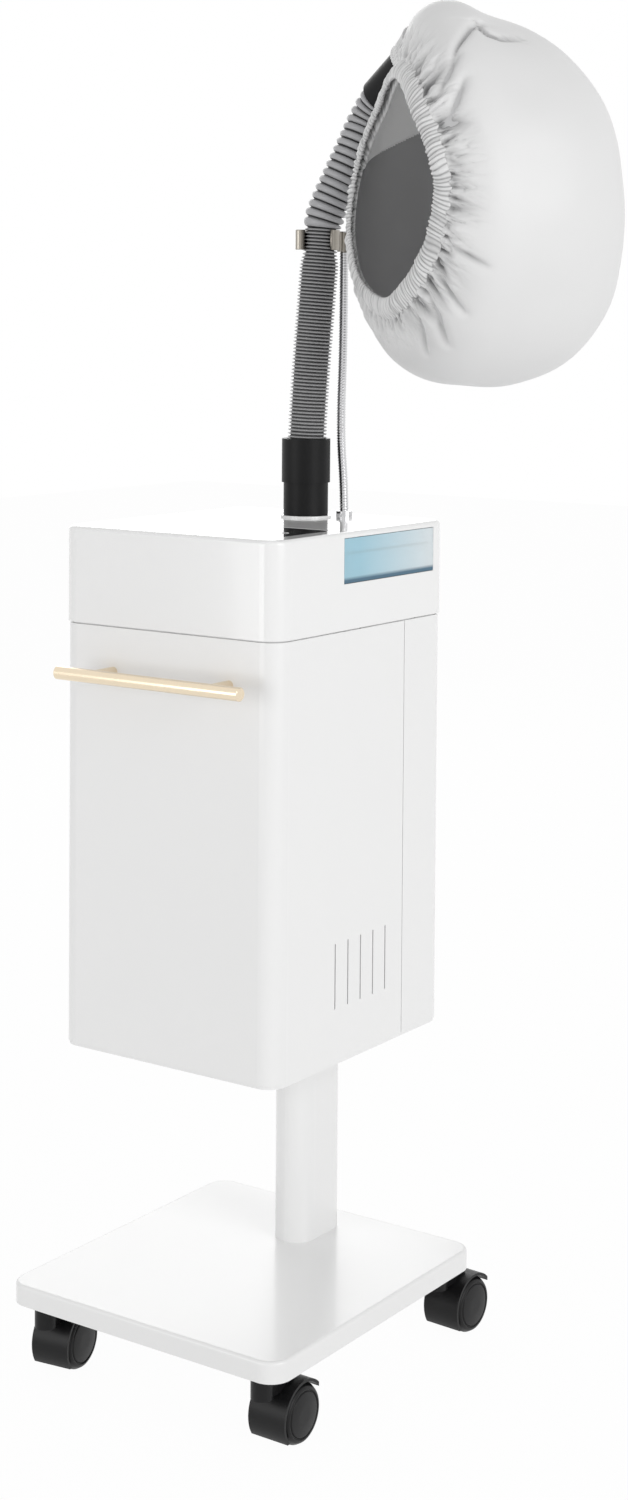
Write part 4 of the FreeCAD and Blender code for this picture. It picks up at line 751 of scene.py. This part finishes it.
def bonnet_outline(turn, samples=360):
    """Lines from the hem over the front and the widest place to the back, one for each direction.

    Gives points in the bonnet's own axes: side, back and up.
    """
    half = BONNET_HALF
    across, upward = np.cos(turn), np.sin(turn)
    front = np.linspace(0, 1, samples // 2) ** 0.8
    points = []
    places = []
    for axis in (0, 1):
        end = math.acos((MOUTH[axis] / half[axis]) ** (1 / BONNET_ROUND))
        bend = end * (1 - front)
        depth = BONNET_FRONT / math.sin(end) ** BONNET_ROUND
        points.append(half[axis] * np.cos(bend) ** BONNET_ROUND)
        places.append(BONNET_FRONT - depth * np.sin(bend) ** BONNET_ROUND)
    rear = np.linspace(0, 1, samples // 2)[1:] ** 1.25 * math.pi / 2
    closing = np.clip(np.cos(rear), 0, 1) ** BONNET_ROUND
    rear_place = BONNET_FRONT + (BONNET_LONG - BONNET_FRONT) * np.sin(rear) ** BONNET_ROUND
    slow = 1 + 1.7 * facing(118, 42)(turn)[:, None]
    reached = []
    for axis in (0, 1):
        spread = half[axis] - MOUTH[axis]
        share = np.clip((points[axis] - MOUTH[axis]) / spread, 0, 1)
        front_part = MOUTH[axis] + spread * share[None, :] ** slow
        rear_part = np.broadcast_to(half[axis] * closing, (len(turn), len(closing)))
        reached.append(np.concatenate([front_part, rear_part], 1))
    wide, tall = reached
    place_wide = np.r_[places[0], rear_place]
    place_tall = np.r_[places[1], rear_place]
    share = across[:, None] ** 2
    depth = share * place_wide + (1 - share) * place_tall
    fade = np.clip(1 - depth / BONNET_FRONT, 0, 1) ** 1.3
    depth = depth + hem_wave(turn)[:, None] * fade
    sag = BONNET_SAG * np.clip(depth / BONNET_LONG, 0, 1)
    return np.stack([wide * across[:, None], depth, tall * upward[:, None] - sag], 2)


def resampled(lines, spacing):
    """The same lines with points at the given distances from their starts; 1 is the far end."""
    found = []
    for line in lines:
        runs = np.r_[0, np.cumsum(np.linalg.norm(np.diff(line, axis=0), axis=1))]
        wanted = spacing * runs[-1]
        found.append(np.stack([np.interp(wanted, runs, line[:, i]) for i in range(3)], 1))
    return np.array(found).transpose(1, 0, 2)


def outward(grid):
    """Normals of a grid of points whose rows go round."""
    along = np.gradient(grid, axis=0)
    around = np.roll(grid, -1, axis=1) - np.roll(grid, 1, axis=1)
    normal = np.cross(around, along)
    length = np.linalg.norm(normal, axis=2, keepdims=True)
    normal = normal / np.maximum(length, 1e-9)
    middle = grid.mean((0, 1))
    if ((grid - middle) * normal).sum() < 0:
        normal = -normal
    return normal


def gathers(turn, reach, count, depth, length, seed, toward=None):
    """How far the cloth is drawn in by creases that start at the band, then open and die out.

    toward is a direction and a spread in degrees, for creases on one side only.
    """
    rng = np.random.default_rng(seed)
    pitch = math.tau / count
    drawn = np.zeros(reach.shape)
    rows = np.flatnonzero((reach.max(1) > -0.02) & (reach.min(1) < 1.5 * length))
    near = reach[rows]
    for i in range(count):
        place, deep, far, lean = rng.uniform((-0.3, 0.45, 0.5, -0.6), (0.3, 1, 1.35, 0.6))
        at = (i + place) * pitch
        share = 1 if toward is None else facing(*toward)(at)
        gone = np.clip(near / (far * length * (0.4 + 0.6 * share)), 0, 1)
        off = (turn[None, :] - at - lean * pitch * gone + math.pi) % math.tau - math.pi
        wide = pitch * (0.17 + 0.36 * gone)
        crease = deep * depth * share * np.exp(-np.abs(off) / wide) * (1 - gone) ** 1.2
        drawn[rows] = np.maximum(drawn[rows], crease)
    return drawn


def ridges(turn, reach):
    """Small sharp folds that run away from the opening: 0 in a fold's valley, near 1 on its ridge."""
    around = 0.115 * np.stack([np.cos(turn), np.sin(turn)], axis=1)
    found = np.zeros(reach.shape)
    for row, away in enumerate(reach):
        for column, ((x, y), out) in enumerate(zip(around, away)):
            broad = noise.noise(Vector((x * 150, y * 150, out * 38)))
            fine = noise.noise(Vector((x * 330, y * 330, out * 95 + 7)))
            found[row, column] = abs(broad) + 0.5 * abs(fine)
    return found


def cloth_point(grid, turn, reach, degrees, away):
    """The point of the grid in a direction round the opening, at a distance in mm from the band."""
    column = round(degrees / 360 * len(turn)) % len(turn)
    return grid[np.argmin(np.abs(reach[:, column] - away * MM)), column]


def crease(grid, turn, reach, knots, wide):
    """How near each point is to a line over the cloth: 1 on it, and tapered to its ends.

    Also gives 1 over the line and 0 under it. knots are (degrees round the opening, mm from the band).
    """
    line = np.array([cloth_point(grid, turn, reach, *knot) for knot in knots])
    nearest = np.full(grid.shape[:2], 1.0)
    passed = np.zeros(grid.shape[:2])
    over = np.zeros(grid.shape[:2])
    for k, (start, end) in enumerate(zip(line, line[1:])):
        way = end - start
        along = np.clip(((grid - start) @ way) / (way @ way), 0, 1)
        off = grid - start - along[..., None] * way
        distance = np.linalg.norm(off, axis=2)
        closer = distance < nearest
        nearest = np.where(closer, distance, nearest)
        passed = np.where(closer, (k + along) / (len(line) - 1), passed)
        over = np.where(closer, off[..., 2] > 0, over)
    taper = np.sin(np.pi * np.clip(0.12 + 0.88 * passed, 0, 1)) ** 0.6
    return np.exp(-((nearest / wide) ** 1.3)) * taper, nearest, over * taper


def bonnet_place(local):
    """Row-frame points from points in the bonnet's own axes."""
    low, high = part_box("hem_ring")
    middle = np.array((low + high) / 2) + BACK * HEM_BACK
    flat = middle + local[..., :1] * SIDE + local[..., 1:2] * BACK
    return flat + local[..., 2:] * np.array((0, 0, 1))


def make_bonnet(paints):
    """The gathered bonnet: cloth outside, lining inside, and an elastic band round the opening."""
    columns = 1422
    turn = np.linspace(0, math.tau, columns, endpoint=False)
    lines = bonnet_outline(turn)
    total = np.linalg.norm(np.diff(lines, axis=1), axis=2).sum(1)
    steps = np.r_[np.arange(0.012, 0.05, 0.0013), np.arange(0.05, 0.10, 0.0022)]
    share = np.r_[steps / total.mean(), np.linspace(0.10 / total.mean(), 0.995, 34)[1:]]
    grid = resampled(lines, share)
    reach = share[:, None] * total[None, :] - BAND_WIDE
    normal = outward(grid)

    out = np.clip(reach, 0, None)
    puff = 0.0022 + 0.0048 * (1 - np.exp(-out / 0.005)) * np.exp(-out / 0.04)
    drawn = np.maximum.reduce([gathers(turn, reach, *row) for row in GATHERS])
    drawn *= 0.4 + 0.6 * np.clip(reach / 0.005, 0, 1)
    rise = puff * np.exp(-out / 0.08) - drawn
    soft = np.array([
        [noise.noise(Vector(p) * 9) * 0.0042 + noise.noise(Vector(p) * 23) * 0.0014 for p in row]
        for row in grid
    ])
    rise = rise + soft * np.clip(reach / 0.05, 0, 1)
    # fold is painted shade: darkest where the gathers draw the cloth in deepest
    fold = np.clip(drawn / 0.0062, 0, 1) ** 1.5
    crumpled = np.exp(-((out - 0.009) / 0.017) ** 2) * np.clip(reach / 0.003, 0, 1)
    rows = np.flatnonzero(crumpled.max(1) > 0.02)
    facets = ridges(turn, reach[rows])
    rise[rows] -= CRUMPLE * crumpled[rows] * (1 - 1.6 * facets)
    # painted shade in the valleys of the crumpled cloth
    fold[rows] = np.maximum(fold[rows], 0.85 * crumpled[rows] * np.exp(-facets / 0.09))
    swell = [(cloth_point(grid, turn, reach, *at), high, wide) for *at, high, wide in BULGES]
    rise = rise + swelling(grid, swell)
    for knots, wide, deep, lip in TUCKS:
        sharp, away, over = crease(grid, turn, reach, knots, wide)
        rise = rise - deep * sharp + lip * np.exp(-away / 0.011) * over
        # painted shade along each tuck
        fold = np.maximum(fold, sharp ** 2 * 0.8)
    cloth_grid = grid + normal * rise[..., None]

    near = np.arange(0.002, 0.13, 0.0026) / total.mean()
    inner = resampled(lines, np.r_[near, np.linspace(0.14 / total.mean(), 0.99, 12)])
    in_panel = port_panel(inner)
    sunk = LINING_IN + 0.0014 * in_panel - swelling(inner, swell)
    inner = inner - outward(inner) * sunk[..., None]
    whole = np.concatenate([cloth_grid[::-1], inner])
    # the third paint is the port panel's, with painted light in its pale colour and glow
    used = [paints["silver_cloth"], paints["lining"], paints["lining_panel_glow"]]
    cloth = ring_piece("bonnet_cloth", bonnet_place(whole), used, capped=True)
    store_fold_shade(cloth, np.concatenate([fold[::-1], np.zeros(inner.shape[:2])]))
    kind = np.zeros(whole.shape[:2], np.int32)
    kind[len(cloth_grid):] = 1 + (in_panel > 0.5)
    marks = np.ones(len(cloth.data.polygons), np.int32)
    marks[:kind[:-1].size] = kind[:-1].ravel()
    marks[-2 * columns:-columns] = 0
    cloth.data.polygons.foreach_set("material_index", marks)
    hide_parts("bonnet")
    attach(cloth, "hood")
    return cloth, make_band(paints)


def make_collar(cloth, paints):
    """The bonnet's gathered neck: tight on the cuff, and spreading into the cloth round the port."""
    columns = 400
    turn = np.linspace(0, math.tau, columns, endpoint=False)
    faces = [tuple(face.vertices) for face in cloth.data.polygons]
    surface_tree = BVHTree.FromPolygons([v.co for v in cloth.data.vertices], faces)
    start = np.array([CUFF_START + CUFF_WAY * 0.02])
    rim = tube_grid(start, np.array([CUFF_WAY]), [NECK_SPREAD], columns)[0]
    reach = []
    for point in rim:
        hit = surface_tree.ray_cast(Vector(point), Vector(CUFF_WAY), 0.12)
        reach.append(0.02 + (hit[3] if hit[0] is not None else 0.05))
    count = 2 * (columns // 24) + 1
    kernel = np.hanning(count) / np.hanning(count).sum()
    half = count // 2
    reach = np.convolve(np.r_[reach[-half:], reach, reach[:half]], kernel, "valid") + 0.003

    rng = np.random.default_rng(11)
    waver = sum(rng.uniform(0.2, 0.8) * np.sin(k * turn + rng.uniform(0, 6)) for k in (3, 5, 8))
    rib = np.abs(np.cos((42 * turn + waver) / 2)) ** 0.8
    rows, folds = [], []
    tight = [(np.full(columns, along), radius, 0.0008) for along, radius in rounded(NECK, 0.002, 4)]
    spread = []
    for share in np.linspace(0, 1, 22)[1:]:
        along = NECK[-1][0] + (reach - NECK[-1][0]) * share
        radius = NECK[-1][1] + (NECK_SPREAD - NECK[-1][1]) * share ** 1.5
        deep = 0.0008 + 0.0030 * math.sin(math.pi * min(1, share * 1.1)) ** 0.8
        spread.append((along, radius, deep))
    for along, radius, deep in tight + spread:
        ring = tube_grid(start, np.array([CUFF_WAY]), [radius - deep * (1 - rib)], columns)[0]
        rows.append(ring + CUFF_WAY * (along - 0.02)[:, None])
        # painted shade in the valleys between the collar's gathers
        folds.append((1 - rib) ** 1.4 * min(1, deep / 0.0035))
    collar = ring_piece("bonnet_collar", np.array(rows), [paints["silver_cloth"]], capped=True)
    store_fold_shade(collar, np.array(folds))
    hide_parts("port_ring")
    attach(collar, "hood")
    return collar


def swelling(grid, places):
    """How far the cloth stands out round some points of it."""
    return sum(
        high * np.exp(-((np.linalg.norm(grid - point, axis=2) / wide) ** 2))
        for point, high, wide in places
    )


def store_fold_shade(piece, fold):
    """Stores how deep in a fold each point is, as the amount of painted shade the cloth's paint puts
    there.
    """
    values = np.zeros(len(piece.data.vertices), np.float32)
    values[:fold.size] = fold.ravel()
    piece.data.attributes.new("fold", "FLOAT", "POINT").data.foreach_set("value", values)


def port_panel(points):
    """1 on the second layer of lining round the port, by height, with a crisp lower edge."""
    edge = 0.034 + 0.5 * (points[..., 1] - 0.029)
    above = np.clip((points[..., 2] - edge) / 0.0015, 0, 1)
    return above * (points[..., 0] < 0.01) * np.clip((0.13 - points[..., 1]) / 0.002, 0, 1)


def make_band(paints):
    """The elastic casing: a flat band round the opening, drawn into fine ribs."""
    columns = 2280
    around = np.linspace(0, math.tau, columns, endpoint=False)
    edge = bonnet_outline(around, samples=120)
    length = np.linalg.norm(np.diff(edge, axis=1), axis=2).sum(1).mean()
    inner, outer = resampled(edge, np.array([0, BAND_WIDE / length]))
    across = outer - inner
    across /= np.linalg.norm(across, axis=1)[:, None]
    along = np.roll(inner, -1, axis=0) - np.roll(inner, 1, axis=0)
    along /= np.linalg.norm(along, axis=1)[:, None]
    proud = np.cross(along, across)
    proud *= np.sign((proud * np.array((0, -1, 0))).sum(1))[:, None]
    rng = np.random.default_rng(5)
    waver = sum(
        rng.uniform(0.3, 0.9) * np.sin(k * around + rng.uniform(0, 6)) for k in (4, 7, 12, 19, 31)
    )
    tall = rng.uniform(0.4, 1.0, BAND_RIBS)
    rows, folds = [], []
    for place, height in rounded_profile(17):
        phase = BAND_RIBS * around + 2.4 * waver + 2.2 * np.sin(3 * place + 9 * around)
        which = np.floor((phase + math.pi) / math.tau).astype(int) % BAND_RIBS
        peak = np.abs(np.cos(phase / 2)) ** 0.8
        rib = tall[which] * peak
        coarse = np.sin(53 * around + 2 * waver + 0.7)
        flat = 1 - 0.45 * place
        swell = height * (0.0006 + 0.0031 * rib + 0.0007 * coarse) * flat
        edge_wave = 0.0014 * rib * (1 - place) + 0.0016 * coarse * place
        rows.append(
            inner + across * (place * (BAND_WIDE + 0.002) - edge_wave)[:, None]
            + proud * (swell + 0.0024 * math.sin(math.pi * place) + 0.0008 * place)[:, None]
        )
        # painted shade between the band's ribs, and an even painted shade over its back
        folds.append(np.clip(0.85 - 1.35 * rib, 0, 1) if height > 0 else np.full(columns, 0.35))
    placed = bonnet_place(np.array(rows))
    band = ring_piece("bonnet_band", placed, [paints["silver_cloth"]], closed=True)
    store_fold_shade(band, np.array(folds))
    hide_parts("hem_ring")
    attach(band, "hood")
    return band


def rounded_profile(points):
    """Across the band and its thickness, as shares, once round."""
    turn = np.linspace(0, math.pi, points)
    front = [(0.5 - 0.5 * math.cos(t), math.sin(t) ** 0.5) for t in turn]
    back = [(0.5 + 0.5 * math.cos(t), -math.sin(t) ** 0.5) for t in turn[1:-1]]
    return front + back


# ---------------------------------------------------------------- control panel

PANEL_ROW = -0.060
DIGIT_TALL = 0.013


def flat_print(name, outlines, paint):
    """A thin print on the panel from closed outlines in metres, standing on the glass."""
    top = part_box("control_panel")[1][2]
    points, faces = [], []
    for outline in outlines:
        start, count = len(points), len(outline)
        for height in (0.00001, 0.00016):
            points.extend((x, y, top + height) for x, y in outline)
        faces.append(tuple(start + count + i for i in range(count)))
        faces.append(tuple(start + count - 1 - i for i in range(count)))
        for i in range(count):
            j = (i + 1) % count
            faces.append((start + i, start + j, start + count + j, start + count + i))
    printed = mesh_piece(name, points, faces, [paint], smooth=False)
    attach(printed, "chassis")
    return printed


def bar(x, y, long, wide, turn=0.0):
    """A stroke's outline, centred on a point and turned by degrees."""
    way = np.array((math.cos(math.radians(turn)), math.sin(math.radians(turn))))
    side = np.array((-way[1], way[0]))
    corners = ((-0.5, -0.5), (0.5, -0.5), (0.5, 0.5), (-0.5, 0.5))
    return [np.array((x, y)) + way * long * a + side * wide * b for a, b in corners]


def arc(x, y, radius, wide, start, end, pieces=20):
    """Outlines of a curved stroke, from one direction to another in degrees."""
    found = []
    turns = np.linspace(start, end, pieces + 1)
    small, large = radius - wide / 2, radius + wide / 2
    for a, b in zip(turns, turns[1:]):
        ends = [(r, math.radians(t)) for r, t in ((small, a), (large, a), (large, b), (small, b))]
        found.append([(x + r * math.cos(t), y + r * math.sin(t)) for r, t in ends])
    return found


def digit(x, y, segments):
    """A seven-segment figure; segments are a to g, as on a display."""
    tall, half = DIGIT_TALL, DIGIT_TALL / 4
    places = {
        "a": (0, tall / 2, 0), "d": (0, -tall / 2, 0), "g": (0, 0, 0), "b": (half, half, 90),
        "c": (half, -half, 90), "f": (-half, half, 90), "e": (-half, -half, 90),
    }
    strokes = [places[s] for s in segments]
    return [bar(x + dx, y + dy, tall * 0.4, tall * 0.09, turn) for dx, dy, turn in strokes]


def make_icons(paints):
    """Generic prints on the glass: power, minus, plus, drop, clock, and two figures on the display."""
    y = PANEL_ROW
    marks = arc(-0.078, y, 0.006, 0.0012, 115, 425) + [bar(-0.078, y + 0.0052, 0.006, 0.0012, 90)]
    marks += [bar(-0.046, y, 0.010, 0.0012)]
    marks += [bar(0.046, y, 0.010, 0.0012)]
    marks += [bar(0.046, y + away, 0.0042, 0.0012, 90) for away in (0.0029, -0.0029)]
    marks += arc(0.078, y, 0.006, 0.0010, 0, 360, 28)
    marks += [bar(0.078, y + 0.0020, 0.0038, 0.0009, 90), bar(0.0794, y, 0.0028, 0.0009)]
    marks += arc(0.0, y - 0.0225, 0.0036, 0.0009, 150, 390)
    marks += [bar(side * 0.0018, y - 0.0172, 0.0052, 0.0009, 90 + 30 * side) for side in (-1, 1)]
    flat_print("panel_icons", marks, paints["print_white"])
    shown = digit(-0.0065, y, "abged") + digit(0.0065, y, "abcdef")
    flat_print("panel_display", shown, paints["display_light"])


# ---------------------------------------------------------------- all of it

add_stage()
paints = make_paints()
dress_nodes(paints)
make_hose(paints)
make_gooseneck(paints)
make_clip(paints)
make_wheels(paints)
bonnet, bonnet_band = make_bonnet(paints)
bonnet_collar = make_collar(bonnet, paints)
make_icons(paints)
